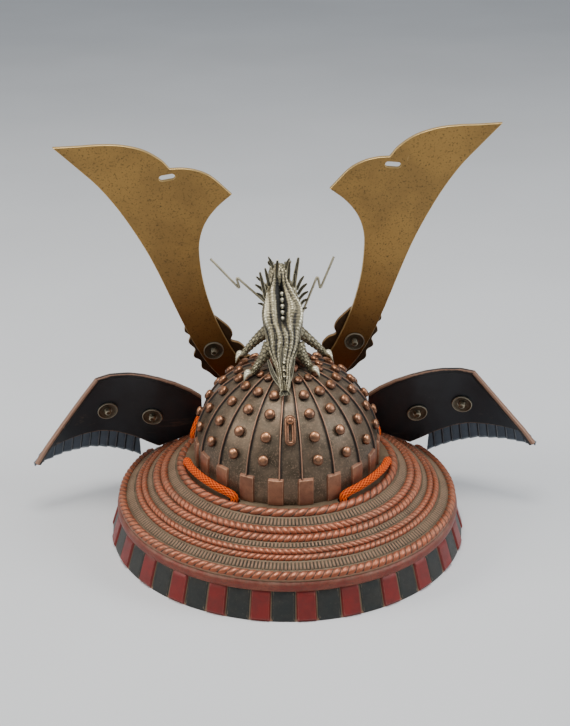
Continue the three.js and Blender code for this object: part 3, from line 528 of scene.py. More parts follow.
def sweep_rings(path, radius_at, sides, wobble=None):
    """Rings of points round a path, turned as little as possible from one to the next."""
    path = [Vector(p) for p in path]
    rings = []
    side = None
    for i, centre in enumerate(path):
        ahead = (path[min(i + 1, len(path) - 1)] - path[max(i - 1, 0)]).normalized()
        if side is None:
            side = ahead.orthogonal().normalized()
        side = (side - ahead * side.dot(ahead)).normalized()
        up = ahead.cross(side)
        ring = []
        for k in range(sides):
            turn = 2 * math.pi * k / sides
            reach = radius_at(i / (len(path) - 1), turn)
            ring.append(centre + (side * math.cos(turn) + up * math.sin(turn)) * reach)
        rings.append(ring)
    return rings


# ---------------------------------------------------------------------------
# Camera, floor and light
# ---------------------------------------------------------------------------

CAMERA_DISTANCE = 0.84
CAMERA_ELEVATION = math.radians(30.32)
CAMERA_BEARING = math.radians(2.0)
CAMERA_TILT = math.radians(-23.76)


def make_camera():
    data = bpy.data.cameras.new("camera")
    data.sensor_fit = "VERTICAL"
    data.sensor_height = 36.0
    data.lens = 69.0
    data.clip_end = 20.0
    camera = bpy.data.objects.new("camera", data)
    bpy.context.scene.collection.objects.link(camera)
    level = CAMERA_DISTANCE * math.cos(CAMERA_ELEVATION)
    camera.location = place(0, 0, 0) + Vector((
        -level * math.sin(CAMERA_BEARING), -level * math.cos(CAMERA_BEARING),
        CAMERA_DISTANCE * math.sin(CAMERA_ELEVATION)))
    camera.rotation_euler = (math.pi / 2 + CAMERA_TILT, 0, -CAMERA_BEARING + math.radians(0.107))
    bpy.context.scene.camera = camera


def make_floor():
    half = 6.0
    mesh = bpy.data.meshes.new("floor")
    mesh.from_pydata([(-half, -half, 0), (half, -half, 0), (half, half, 0), (-half, half, 0)], [], [(0, 1, 2, 3)])
    material = bpy.data.materials.new("pale floor")
    material.use_nodes = True
    tree = material.node_tree
    shader = tree.nodes["Principled BSDF"]
    tone = ramp_of(tree, noise_of(tree, 3.0, 3.0), 0.3, 0.7)
    tree.links.new(blend_of(tree, tone, tint(206, 208, 210), tint(212, 214, 216)), shader.inputs["Base Color"])
    shader.inputs["Roughness"].default_value = 0.8
    mesh.materials.append(material)
    floor = bpy.data.objects.new("floor", mesh)
    bpy.context.scene.collection.objects.link(floor)


def make_lamp(name, spot, aim, size, power, color=(1, 1, 1)):
    data = bpy.data.lights.new(name, "AREA")
    data.shape = "DISK"
    data.size = size
    data.energy = power
    data.color = color
    lamp = bpy.data.objects.new(name, data)
    bpy.context.scene.collection.objects.link(lamp)
    lamp.location = spot
    lamp.rotation_euler = (Vector(aim) - Vector(spot)).to_track_quat("-Z", "Y").to_euler()


def light_studio():
    world = bpy.data.worlds.new("studio")
    bpy.context.scene.world = world
    world.use_nodes = True
    world.node_tree.nodes["Background"].inputs["Color"].default_value = (0.86, 0.92, 1.0, 1)
    world.node_tree.nodes["Background"].inputs["Strength"].default_value = 0.4
    middle = (0, 0, 0.1)
    make_lamp("overhead softbox", (-0.05, -0.12, 1.3), middle, 0.7, 15, (1.0, 0.97, 0.93))
    make_lamp("left softbox", (-1.1, -0.15, 0.75), middle, 0.6, 8, (1.0, 0.96, 0.9))
    make_lamp("right softbox", (1.1, -0.15, 0.75), middle, 0.6, 9, (0.95, 0.97, 1.0))


make_camera()
make_floor()
light_studio()


# ---------------------------------------------------------------------------
# Chin cord
# ---------------------------------------------------------------------------

CORD_RADIUS = 2.3
CORD_HOLES = ((-83, 58.9), (-32, 58.9), (30, 58.9), (80, 58.9), (117.5, 62.6), (149.5, 64.4), (210.5, 64.4),
              (242.5, 62.6))
CORD_OUTSIDE = {0: (58.9, 49.5), 2: (58.9, 49.5), 4: (62.2, 58.0), 6: (62.2, 58.0)}
CORD_INSIDE = (57.0, 35.5)
CORD_LEVELS = (38.0, 42.5, 46.5)
CORD_STRANDS = 8


def cord_route():
    """The points that the cord follows, down and up through its eight holes."""
    points = []
    for i, (angle, radius) in enumerate(CORD_HOLES):
        outside = CORD_OUTSIDE.get(i)
        for z in CORD_LEVELS if outside else reversed(CORD_LEVELS):
            points.append(bearing(angle, radius, z))
        following = CORD_HOLES[(i + 1) % len(CORD_HOLES)][0] + (360 if i + 1 == len(CORD_HOLES) else 0)
        for t in (0.25, 0.5, 0.75):
            along = angle + (following - angle) * t
            if outside:
                rise = outside[1] - (0 if t == 0.5 else (outside[1] - 46.5) * 0.2)
                points.append(bearing(along, outside[0], rise))
            else:
                points.append(bearing(along, *CORD_INSIDE))
    return points


def closed_curve(points, steps):
    """A smooth closed run through points, each span's pace set by the root of its length."""
    count = len(points)
    made = []
    pace = [max((points[(i + 1) % count] - points[i]).length, 1e-6) ** 0.5 for i in range(count)]
    per_span = steps // count
    for i in range(count):
        before, start = points[i - 1], points[i]
        end, after = points[(i + 1) % count], points[(i + 2) % count]
        d0, d1, d2 = pace[i - 1], pace[i], pace[(i + 1) % count]
        leave = (start - before) / d0 - (end - before) / (d0 + d1) + (end - start) / d1
        arrive = (end - start) / d1 - (after - start) / (d1 + d2) + (after - end) / d2
        leave, arrive = leave * d1, arrive * d1
        for s in range(per_span):
            t = s / per_span
            made.append(start * (2 * t ** 3 - 3 * t ** 2 + 1) + leave * (t ** 3 - 2 * t ** 2 + t)
                        + end * (3 * t ** 2 - 2 * t ** 3) + arrive * (t ** 3 - t ** 2))
    return made


def make_chin_cord(finish):
    path = closed_curve(cord_route(), 2016)
    count = len(path)
    sides = 40
    travelled = 0.0
    side = None
    sides_of = []
    aheads = [(path[(i + 1) % count] - path[i - 1]).normalized() for i in range(count)]
    for ahead in aheads:
        side = ahead.orthogonal() if side is None else side
        side = (side - ahead * side.dot(ahead)).normalized()
        sides_of.append(side.copy())
    closing = (sides_of[-1] - aheads[0] * sides_of[-1].dot(aheads[0])).normalized()
    twist = math.atan2(aheads[0].dot(closing.cross(sides_of[0])), closing.dot(sides_of[0]))
    length = sum((path[i] - path[i - 1]).length for i in range(count))
    pitch = length / round(length / 0.0031)
    points, relief = [], []
    for i, centre in enumerate(path):
        if i:
            travelled += (centre - path[i - 1]).length
        turn_by = twist * i / count
        side = Matrix.Rotation(turn_by, 3, aheads[i]) @ sides_of[i]
        up = aheads[i].cross(side)
        for k in range(sides):
            turn = 2 * math.pi * k / sides
            crossing = math.cos(CORD_STRANDS * turn) * math.cos(2 * math.pi * travelled / pitch)
            swell = (0.5 + 0.5 * crossing) ** 0.8
            reach = (CORD_RADIUS - 0.4 * (1 - swell)) * MM
            points.append(centre + (side * math.cos(turn) + up * math.sin(turn)) * reach)
            relief.append(swell)
    faces = [tuple(reversed(f)) for f in sheet_faces(count, sides, True, True)]
    make_piece("chin_cord_braid", points, faces, finish, ("chin_cord",), relief, sharp=180)


make_chin_cord(make_cord_silk())


# ---------------------------------------------------------------------------
# Neck guard
# ---------------------------------------------------------------------------

ROPES = (  # inner and outer radius, height, pitch of the strands and the way they lean
    {"inner": 59.8, "outer": 64.6, "height": 2.2, "pitch": 5.9, "lean": 1.1},
    {"inner": 70.0, "outer": 74.4, "height": 1.9, "pitch": 3.7, "lean": -0.9},
    {"inner": 74.4, "outer": 78.8, "height": 1.9, "pitch": 3.7, "lean": 0.9},
    {"inner": 82.2, "outer": 85.6, "height": 1.6, "pitch": 3.4, "lean": -0.9},
    {"inner": 85.6, "outer": 89.0, "height": 1.6, "pitch": 3.4, "lean": 0.9},
    {"inner": 94.6, "outer": 99.2, "height": 2.1, "pitch": 4.6, "lean": 1.0},
)
RIBBED_BANDS = (
    {"inner": 65.4, "outer": 69.6, "pitch": 2.0},
    {"inner": 79.3, "outer": 81.7, "pitch": 2.0},
    {"inner": 89.8, "outer": 94.0, "pitch": 2.0},
)


def brim_height(radius):
    return LEDGE - BRIM_SLOPE * max(0.0, radius - LEDGE_OUTER)


def brim_reach(radius):
    """The angle from the back at which a circle of this radius meets the guard's cut front."""
    return 180 - math.degrees(math.acos(min(0.9995, GUARD_FRONT / radius)))


def guard_sweep(profile, steps):
    """A closed body from a profile of (radius, height), swept round the back between the two cut ends."""
    rows = []
    for s in range(steps + 1):
        share = 2 * s / steps - 1
        rows.append([bearing(share * brim_reach(r), r, z) for r, z in profile])
    count = len(profile)
    points = [p for row in rows for p in row]
    faces = sheet_faces(steps + 1, count, wrap_columns=True)
    faces.append(tuple(reversed(range(count))))
    faces.append(tuple(range(steps * count, (steps + 1) * count)))
    return points, faces


def make_guard_casting(finish):
    back = PANEL_RELIEF
    top = [(LEDGE_INNER, LEDGE - 0.5), (LEDGE_INNER + 0.5, LEDGE)]
    top += [(r, LEDGE) for r in np.linspace(LEDGE_INNER + 1.5, LEDGE_OUTER - 0.4, 6)]
    top += [(r, brim_height(r)) for r in np.linspace(LEDGE_OUTER, 99.0, 44)]
    top += [(98.9, 22.2), (98.4, 21.2), (98.2, 20.4), (98.2, 17.2), (98.2, SKIRT_TOP + 0.1)]
    top += [(SKIRT_TOP_RADIUS - back, SKIRT_TOP - 0.2)]
    wall = [(SKIRT_TOP_RADIUS - back + t * (SKIRT_RADIUS - SKIRT_TOP_RADIUS), SKIRT_TOP * (1 - t))
            for t in (0.25, 0.5, 0.75, 0.97)]
    foot = [(SKIRT_RADIUS - back - 0.2, 0.0), (SKIRT_RADIUS - back - CAST_WALL + 0.3, 0.0)]
    inside = [(SKIRT_RADIUS - back - CAST_WALL, 0.4), (SKIRT_TOP_RADIUS - back - CAST_WALL, SKIRT_TOP),
              (95.4, 21.5), (78.0, LEDGE - CAST_WALL - 0.4 - (78.0 - LEDGE_OUTER) * 0.545),
              (LEDGE_OUTER, LEDGE - CAST_WALL - 0.4), (LEDGE_INNER + 0.4, LEDGE - CAST_WALL),
              (LEDGE_INNER, LEDGE - CAST_WALL + 0.4)]
    points, faces = guard_sweep(top + wall + foot + inside, 300)
    casting = make_piece("neck_guard_casting", points, faces, finish, ("neck_guard",), sharp=35)
    drill_cord_holes(casting)
    return casting


def drill_cord_holes(piece):
    """Cuts the cord's holes through a piece with a boolean, and keeps the result as its mesh."""
    drills = Parts()
    for angle, radius in CORD_HOLES:
        rings = []
        for z in (30, 52):
            centre = bearing(angle, radius, z)
            rings.append([centre + Vector((3.3 * MM * math.cos(k * math.pi / 12), 3.3 * MM * math.sin(k * math.pi / 12), 0))
                          for k in range(24)])
        points, faces = tube_forms(rings)
        drills.add(points, [tuple(reversed(f)) for f in faces])
    mesh = bpy.data.meshes.new("drills")
    mesh.from_pydata([tuple(p) for p in drills.points], [], drills.faces)
    drill = bpy.data.objects.new("drills", mesh)
    bpy.context.scene.collection.objects.link(drill)
    cut = piece.modifiers.new("holes", "BOOLEAN")
    cut.operation = "DIFFERENCE"
    cut.solver = "EXACT"
    cut.object = drill
    depsgraph = bpy.context.evaluated_depsgraph_get()
    made = bpy.data.meshes.new_from_object(piece.evaluated_get(depsgraph))
    piece.modifiers.clear()
    piece.data = made
    bpy.data.objects.remove(drill)
    return piece


def make_rope(number, finish):
    rope = ROPES[number]
    middle = (rope["inner"] + rope["outer"]) / 2
    slope = math.atan(BRIM_SLOPE)
    half = (rope["outer"] - rope["inner"]) / 2 / math.cos(slope) * 0.98
    reach = brim_reach(middle) - 0.1
    strands = round(math.radians(reach) * 2 * middle / rope["pitch"])
    steps = strands * 12
    across = 11
    points, relief = [], []
    base_z = brim_height(middle)
    for s in range(steps + 1):
        share = s / steps
        for c in range(across):
            turn = math.radians(-100 + 200 * c / (across - 1))
            phase = share * strands + rope["lean"] * turn / math.pi
            swell = 1 - abs(2 * (phase % 1) - 1) ** 2.6
            grow = 1 - 0.42 * (1 - swell)
            out = half * math.sin(turn) * (0.82 + 0.18 * grow)
            up = rope["height"] * math.cos(turn) * grow - 0.1
            radius = middle + out * math.cos(slope) + up * math.sin(slope)
            height = base_z - out * math.sin(slope) + up * math.cos(slope)
            limit = brim_reach(radius) - 0.05
            points.append(bearing(max(-limit, min(limit, (2 * share - 1) * reach)), radius, height))
            # Relief is high on each strand's crown and most on the rope's upper side, and low in the grooves. The
            # rubbed colour on the crowns is wear and a painted highlight.
            relief.append(0.02 + 0.98 * swell ** 0.8 * (0.4 + 0.6 * max(0.0, math.cos(turn)) ** 0.7))
    faces = sheet_faces(steps + 1, across)
    faces = [tuple(reversed(f)) for f in faces]
    make_piece(f"neck_guard_rope_{number + 1}", points, faces, finish, relief=relief, sharp=180)


def make_ribbed_band(number, finish):
    """A band of fine upright ribs between two of the ropes."""
    band = RIBBED_BANDS[number]
    middle = (band["inner"] + band["outer"]) / 2
    reach = brim_reach(middle) - 0.3
    ribs = round(math.radians(reach) * 2 * middle / band["pitch"])
    slope = math.atan(BRIM_SLOPE)
    points, relief = [], []
    shares = (-1.0, -0.86, 0.0, 0.86, 1.0)
    lifts = (0.0, 1.0, 1.0, 1.0, 0.0)
    steps = ribs * 6
    for s in range(steps + 1):
        share = s / steps
        phase = (share * ribs) % 1
        ridge = float(smooth_step(0.12, 0.3, phase) * (1 - smooth_step(0.7, 0.88, phase)))
        for across, lift in zip(shares, lifts):
            radius = middle + across * (band["outer"] - band["inner"]) / 2
            up = 0.05 + 0.5 * ridge * lift
            limit = brim_reach(radius + up) - 0.05
            angle = max(-limit, min(limit, (2 * share - 1) * reach))
            points.append(bearing(angle, radius + up * math.sin(slope), brim_height(radius) + up * math.cos(slope)))
            relief.append(0.12 + 0.55 * ridge * lift)
    faces = [tuple(reversed(f)) for f in sheet_faces(steps + 1, len(shares))]
    make_piece(f"neck_guard_ribs_{number + 1}", points, faces, finish, relief=relief, sharp=60)


def make_fascia(finish):
    """The rounded red band that runs round above the panels."""
    profile = [(98.0, 16.4), (99.5, 16.3), (100.1, 16.9), (100.25, 18.4), (100.1, 19.9), (99.5, 21.0),
               (98.6, 21.7), (98.0, 21.9)]
    steps = 220
    rows = []
    for s in range(steps + 1):
        share = 2 * s / steps - 1
        rows.extend(bearing(share * (brim_reach(r) - 0.05), r, z) for r, z in profile)
    faces = sheet_faces(steps + 1, len(profile), wrap_columns=True)
    faces.append(tuple(reversed(range(len(profile)))))
    faces.append(tuple(range(steps * len(profile), (steps + 1) * len(profile))))
    make_piece("neck_guard_red_band", rows, [tuple(reversed(f)) for f in reversed(faces)], finish)


def panel_forms(start, end, base, rise, low, high, round_off=0.9):
    """A raised panel of the skirt between two angles, with softened borders."""
    columns, rows = 14, 10
    points = []
    for r in range(rows + 1):
        v = r / rows
        z = low + (high - low) * v
        for c in range(columns + 1):
            u = c / columns
            width = math.radians(end - start) * SKIRT_RADIUS
            edge = min(u * width, (1 - u) * width, v * (high - low), (1 - v) * (high - low))
            lift = rise * math.sqrt(max(0.0, 1 - (1 - min(1.0, edge / round_off)) ** 2))
            radius = SKIRT_RADIUS - (SKIRT_RADIUS - SKIRT_TOP_RADIUS) * z / SKIRT_TOP - base + lift
            points.append(bearing(start + (end - start) * u, radius, z))
    return points, [tuple(reversed(f)) for f in reversed(sheet_faces(rows + 1, columns + 1))]


def make_skirt_panels(red, black):
    reds, blacks = Parts(), Parts()
    limit = brim_reach(103.0) - 0.2
    count = math.ceil(130 / PANEL_STEP)
    for k in range(-count, count + 1):
        centre = PANEL_SHIFT + k * PANEL_STEP
        for parts, low, high, base, rise in (
                (reds, centre - PANEL_RED / 2, centre + PANEL_RED / 2, 1.35, 1.35),
                (blacks, centre + PANEL_RED / 2 + 0.3, centre + PANEL_STEP - PANEL_RED / 2 - 0.3, 1.25, 0.45)):
            start, end = max(low, -limit), min(high, limit)
            if end - start > 0.8:
                parts.add(*panel_forms(start, end, base, rise, 0.15, SKIRT_TOP + 0.2))
    make_piece("skirt_red_panels", reds.points, reds.faces, red, gain=2.2, passes=0)
    make_piece("skirt_black_panels", blacks.points, blacks.faces, black, gain=3.0, passes=0)


make_guard_casting(brim_copper)
for index in range(len(ROPES)):
    make_rope(index, rope_copper)
for index in range(len(RIBBED_BANDS)):
    make_ribbed_band(index, brim_copper)
make_fascia(red_band)
make_skirt_panels(red_enamel, black_enamel)


# ---------------------------------------------------------------------------
# Bowl
# ---------------------------------------------------------------------------


def dome_point(angle, polar, lift):
    turn, lean = math.radians(angle), math.radians(polar)
    across = math.sin(lean)
    return place(
        (BOWL_HALF_WIDTH + lift) * across * math.sin(turn),
        BOWL_CENTRE_Y - (BOWL_HALF_LENGTH + lift) * across * math.cos(turn),
        BOWL_SPRING + (BOWL_RISE + lift) * math.cos(lean))


def wall_point(angle, z, lift):
    point = dome_point(angle, 90, lift)
    point.z = z * MM
    return point


def skin_axes(angle, polar):
    """The outward, sideways and upward directions on the bowl's skin."""
    out = (dome_point(angle, polar, 1) - dome_point(angle, polar, 0)).normalized()
    side = Vector((0, 0, 1)).cross(out)
    side = side.normalized() if side.length > 1e-6 else Vector((1, 0, 0))
    return out, side, out.cross(side)


RIB_ANGLES = sorted(s * (RIB_FIRST + k * RIB_STEP) for k in range(RIBS_PER_SIDE) for s in (-1, 1))
RIVET_ANGLES = sorted(s * (RIB_FIRST + (k + 0.5) * RIB_STEP) for k in range(RIBS_PER_SIDE - 1) for s in (-1, 1))


def make_bowl_shell(finish):
    columns = 216
    polars = list(np.linspace(90, 3, 42))
    outside, inside, relief = [], [], []
    for z in (BOWL_BASE, 46.0, 48.0, 50.5):
        outside.append([wall_point(360 * c / columns, z, 0) for c in range(columns)])
    for polar in polars:
        outside.append([dome_point(360 * c / columns, polar, 0) for c in range(columns)])
    for polar in list(np.linspace(5, 90, 16)):
        inside.append([dome_point(360 * c / columns, polar, -CAST_WALL) for c in range(columns)])
    inside.append([wall_point(360 * c / columns, BOWL_BASE, -CAST_WALL) for c in range(columns)])
    points = [p for row in outside for p in row]
    apex = len(points)
    points.append(dome_point(0, 0, 0))
    start = len(points)
    points.extend(p for row in inside for p in row)
    inner_apex = len(points)
    points.append(dome_point(0, 0, -CAST_WALL))
    faces = sheet_faces(len(outside), columns, wrap_columns=True)
    last = (len(outside) - 1) * columns
    faces += [(last + c, last + (c + 1) % columns, apex) for c in range(columns)]
    inner = [tuple(start + i for i in f) for f in sheet_faces(len(inside), columns, wrap_columns=True)]
    faces += inner
    faces += [(start + (c + 1) % columns, start + c, inner_apex) for c in range(columns)]
    rim = start + (len(inside) - 1) * columns
    faces += [(c, rim + c, rim + (c + 1) % columns, (c + 1) % columns) for c in range(columns)]
    # Painted shade: the relief drops beside each rib, most on its side towards the middle of the back, so the hollow
    # colour lays a dark line there.
    for p in points:
        local = Vector((p.x / MM, p.y / MM - axis_y - BOWL_CENTRE_Y, p.z / MM))
        angle = math.degrees(math.atan2(local.x / BOWL_HALF_WIDTH, -local.y / BOWL_HALF_LENGTH))
        rib = min(RIB_ANGLES, key=lambda a: abs((angle - a + 180) % 360 - 180))
        away = (angle - rib + 180) % 360 - 180
        across = abs(away) * math.radians(1) * 53 * math.sin(math.acos(max(-1, min(1, (local.z - BOWL_SPRING) / BOWL_RISE))))
        inward = away * math.copysign(1, rib) < 0
        relief.append((0.06 if inward else 0.28) + (0.44 if inward else 0.22) * min(1.0, across / 2.6))
    make_piece("bowl_shell", points, faces, finish, ("bowl",), relief, sharp=50)


def make_bowl_ribs(finish):
    """Standing ridges from near the apex down to the base."""
    parts = Parts()
    section = ((-0.95, -0.5), (-0.62, 0.35), (-0.32, 1.1), (0.0, 1.32), (0.32, 1.1), (0.62, 0.35), (0.95, -0.5))
    # Painted light across each rib: a painted highlight in the rubbed colour on its side away from the middle of the
    # back, painted shade in the hollow colour on its side towards it.
    outward_painted_light = (0.0, 0.05, 0.25, 0.9, 0.85, 0.5, 0.3)
    for angle in RIB_ANGLES:
        painted_light = outward_painted_light if angle > 0 else outward_painted_light[::-1]
        rings, relief = [], []
        over_tab = abs((angle - TAB_STEP / 2 + TAB_STEP / 2) % TAB_STEP - TAB_STEP / 2) < TAB_WIDTH / 2 - 0.6
        low = math.degrees(math.acos((TAB_TOP - BOWL_SPRING) / BOWL_RISE)) if over_tab else 90
        stops = [("dome", p) for p in np.linspace(14, low, 40)]
        if not over_tab:
            stops += [("wall", z) for z in (50.0, 47.0, BOWL_BASE + 0.1)]
        for n, (kind, value) in enumerate(stops):
            polar = value if kind == "dome" else 90
            out, side, _ = skin_axes(angle, polar)
            foot = dome_point(angle, polar, 0) if kind == "dome" else wall_point(angle, value, 0)
            taper = min(1.0, 0.35 + n / 6)
            rings.append([foot + side * (x * MM) + out * (y * taper * MM) for x, y in section])
            relief.extend(painted_light)
        points, faces = tube_forms(rings)
        parts.add(points, faces, relief)
    make_piece("bowl_ribs", parts.points, parts.faces, finish, relief=parts.relief, sharp=70)


def make_bowl_rivets(finish):
    """Round-headed rivets, almost whole spheres, a little hollowed where they meet the plates."""
    parts = Parts()
    section = ((1.02, -0.35), (0.93, 0.12), (1.0, 0.34), (1.03, 0.56), (0.98, 0.78), (0.84, 0.97), (0.62, 1.1),
               (0.34, 1.175))
    for angle in RIVET_ANGLES:
        for row in RIVET_ROWS:
            small = 0.8 if row < RIVET_ROWS[1] else 1.0
            out, side, up = skin_axes(angle, row)
            foot = dome_point(angle, row, 0)
            radius, height = 3.0 * small * MM, 3.3 / 1.2 * small * MM
            rings = [[foot + out * (h * height) + (side * math.cos(k * math.pi / 10) + up * math.sin(k * math.pi / 10))
                      * (r * radius) for k in range(20)] for r, h in section]
            points, faces = tube_forms(rings, capped=False)
            tip = len(points)
            points.append(foot + out * (1.2 * height))
            faces += [(tip - 20 + (k + 1) % 20, tip - 20 + k, tip) for k in range(20)]
            # Painted light: relief rises from foot to crown and on the upper half of each rivet, laying a painted
            # highlight on the top and painted shade on the foot and lower half.
            painted_light = (0.02, 0.1, 0.34, 0.48, 0.56, 0.62, 0.68, 0.74)
            relief = [g + 0.3 * math.sin(k * math.pi / 10) * r for g, (r, _) in zip(painted_light, section) for k in range(20)]
            relief.append(0.78)
            parts.add(points, faces, relief)
    faces = [tuple(reversed(f)) for f in parts.faces]
    make_piece("bowl_rivets", parts.points, faces, finish, relief=parts.relief, sharp=180)


def make_bowl_tabs(finish):
    """Raised copper tabs at the foot of the bowl."""
    parts = Parts()
    columns, rows = 12, 12
    for k in range(20):
        middle = TAB_STEP / 2 + k * TAB_STEP
        grid = []
        for r in range(rows + 1):
            v = r / rows
            for c in range(columns + 1):
                u = c / columns
                angle = middle + (u - 0.5) * TAB_WIDTH
                edge = min(u * 9.4, (1 - u) * 9.4, (1 - v) * 15.5)
                lift = -0.2 + 1.3 * math.sqrt(max(0.0, 1 - (1 - min(1.0, edge / 0.7)) ** 2))
                z = BOWL_BASE + 0.05 + v * (TAB_TOP - BOWL_BASE)
                if z <= BOWL_SPRING:
                    grid.append(wall_point(angle, z, lift))
                else:
                    polar = math.degrees(math.acos((z - BOWL_SPRING) / BOWL_RISE))
                    grid.append(dome_point(angle, polar, lift))
        parts.add(grid, sheet_faces(rows + 1, columns + 1))
    make_piece("bowl_tabs", parts.points, parts.faces, finish, gain=3.0, passes=0)


make_bowl_shell(bowl_copper)
make_bowl_ribs(rib_copper)
make_bowl_rivets(rivet_copper)
make_bowl_tabs(tab_copper)


# ---------------------------------------------------------------------------
# Wings and their pleated strips
# ---------------------------------------------------------------------------

WING_ROWS = np.array((  # distance from the centre plane, lower edge, upper edge, how far ahead its foot lies
    (50.5, 35.0, 66.5, 48.5), (57, 32.0, 72.5, 48.4), (66, 28.5, 78.5, 48.1), (75, 28.0, 82.5, 47.6),
    (84, 32.5, 85.0, 46.8), (93, 37.8, 86.4, 45.2), (104, 43.0, 86.6, 42.3), (112, 45.4, 85.0, 39.4),
    (114.5, 45.9, 81.8, 38.3), (124, 46.6, 69.9, 33.5), (134, 46.0, 57.3, 28.2), (143.5, 44.3, 45.4, 22.5)))
STRIP_ROWS = np.array((
    (89.5, 20.5, 39.0), (97, 24.5, 43.2), (106, 28.5, 47.0), (119, 33.3, 49.6), (134, 35.2, 49.0),
    (143, 34.6, 44.2), (150.5, 33.2, 35.2)))
WING_STOPS = np.linspace(WING_ROWS[0, 0], WING_ROWS[-1, 0], 187)


def eased(column):
    """A column of WING_ROWS on close stops, with its corners rounded off over a few millimetres."""
    values = np.interp(WING_STOPS, WING_ROWS[:, 0], WING_ROWS[:, column])
    window = 19
    ends = (2 * values[0] - values[window // 2:0:-1], 2 * values[-1] - values[-2:-window // 2 - 1:-1])
    return np.convolve(np.concatenate([ends[0], values, ends[1]]), np.ones(window) / window, "valid")


WING_LOW, WING_FOOT = eased(1), eased(3)
WING_LEAN = math.tan(math.radians(18))
WING_DROOP = 4.5
WING_SCREWS = (("inner", 80.5, 54.4), ("outer", 107.5, 61.3))


def wing_point(side, x, z, forward):
    foot = np.interp(x, WING_STOPS, WING_FOOT) + ((143.5 - x) * 0.6 if x > 143.5 else 0)
    low = np.interp(x, WING_STOPS, WING_LOW)
    sweep = min(max((x - 70) / 75, 0), 1) * 0.55
    droop = side * WING_DROOP * max(0, (x - 84) / 67) ** 2
    y = foot - (z - low) * WING_LEAN + forward * math.cos(sweep)
    return place(side * (x + forward * math.sin(sweep)), y, z + droop)


def wing_outline():
    """Stops across the wing with its lower and upper edges, denser than the measured rows."""
    xs = np.unique(np.concatenate([np.linspace(50.6, 143.4, 90), [112.0, 114.5]]))
    low = np.interp(xs, WING_ROWS[:, 0], WING_ROWS[:, 1])
    high = np.interp(xs, WING_ROWS[:, 0], WING_ROWS[:, 2])
    return xs, low, high


def make_wing(side, word, finish, rim_finish):
    xs, lows, highs = wing_outline()
    inner, outer, points = 22, SHEET / 2, []
    for x, low, high in zip(xs, lows, highs):
        if x < 89:
            r = math.hypot(x, 47.5)
            low = max(low, brim_height(min(r, 99.2)) + 2.2)
        back = [(low + (high - low) * v, -outer) for v in np.linspace(0, 1, inner)]
        front = [(low + (high - low) * v, outer) for v in np.linspace(1, 0, inner)]
        points.append([wing_point(side, x, z, f) for z, f in back + front])
    flat = [p for ring in points for p in ring]
    count = inner * 2
    faces = sheet_faces(len(points), count, wrap_columns=True)
    faces.append(tuple(reversed(range(count))))
    faces.append(tuple(range((len(points) - 1) * count, len(points) * count)))
    if side < 0:
        faces = [tuple(reversed(f)) for f in faces]
    wing = make_piece(f"{word}_wing_plate", flat, faces, finish, (f"{word}_wing",), sharp=30)
    make_wing_rim(side, word, rim_finish, xs, highs)
    return wing


def make_wing_rim(side, word, finish, xs, highs):
    """A rubbed rounded rim that follows the wing's upper and outer edge."""
    section = ((-0.1, -1.75), (0.45, -1.5), (0.62, -0.6), (0.62, 0.6), (0.45, 1.5), (-0.1, 1.6), (-1.6, 1.35),
               (-2.6, 0.9), (-2.6, -0.9), (-1.6, -1.75))
    rings, relief = [], []
    tip = STRIP_ROWS[-1]
    xs = np.concatenate([xs, np.linspace(xs[-1] + 0.5, tip[0] - 0.4, 12)])
    highs = np.concatenate([highs, np.linspace(highs[-1] - 0.7, tip[2] + 0.6, 12)])
    for i, (x, high) in enumerate(zip(xs, highs)):
        a, b = max(i - 1, 0), min(i + 1, len(xs) - 1)
        rise = (highs[b] - highs[a]) / (xs[b] - xs[a])
        size = math.hypot(1, rise)
        inward = (rise / size, -1 / size)
        ring = []
        for down, forward in section:
            px, pz = x - inward[0] * down, high - inward[1] * down
            ring.append(wing_point(side, min(max(px, 50.6), tip[0]), pz, forward))
        rings.append(ring)
        steep = min(1.0, abs(rise) / 1.1)
        relief.extend((0.62 + 0.3 * steep, 0.8 + 0.15 * steep, 0.6 + 0.3 * steep, 0.6 + 0.3 * steep,
                       0.75 + 0.2 * steep, 0.6 + 0.3 * steep, 0.44, 0.1, 0.1, 0.44))
    points, faces = tube_forms(rings)
    if side < 0:
        faces = [tuple(reversed(f)) for f in faces]
    make_piece(f"{word}_wing_rim", points, faces, finish, relief=relief, sharp=50)


def make_pleated_strip(side, word, finish):
    pleats, per, rows = 12, 20, 14
    first, last = STRIP_ROWS[0, 0], STRIP_ROWS[-1, 0]
    middle = SHEET / 2 + GAP + 0.5 + 0.8
    rings = []
    for s in range(pleats * per + 1):
        x = first + (last - first) * s / (pleats * per)
        low, high = np.interp(x, STRIP_ROWS[:, 0], STRIP_ROWS[:, 1]), np.interp(x, STRIP_ROWS[:, 0], STRIP_ROWS[:, 2])

        def forward(v, x=x):
            phase = ((x - first) / (last - first) * pleats + 0.55 * v) % 1
            return middle - 0.5 + min(1.0, phase / 0.8) ** 1.6 * (1 - float(smooth_step(0.86, 1.0, phase)))
        back = [(low + (high - low) * v, forward(v) - 0.8) for v in np.linspace(0, 1, rows)]
        front = [(low + (high - low) * v, forward(v) + 0.8) for v in np.linspace(1, 0, rows)]
        rings.append([wing_point(side, x, z, f) for z, f in back + front])
    points = [p for ring in rings for p in ring]
    count = rows * 2
    faces = sheet_faces(len(rings), count, wrap_columns=True)
    faces.append(tuple(reversed(range(count))))
    faces.append(tuple(range((len(rings) - 1) * count, len(rings) * count)))
    if side < 0:
        faces = [tuple(reversed(f)) for f in faces]
    make_piece(f"{word}_strip", points, faces, finish, (f"{word}_pleated_strip",), gain=2.5, passes=1)


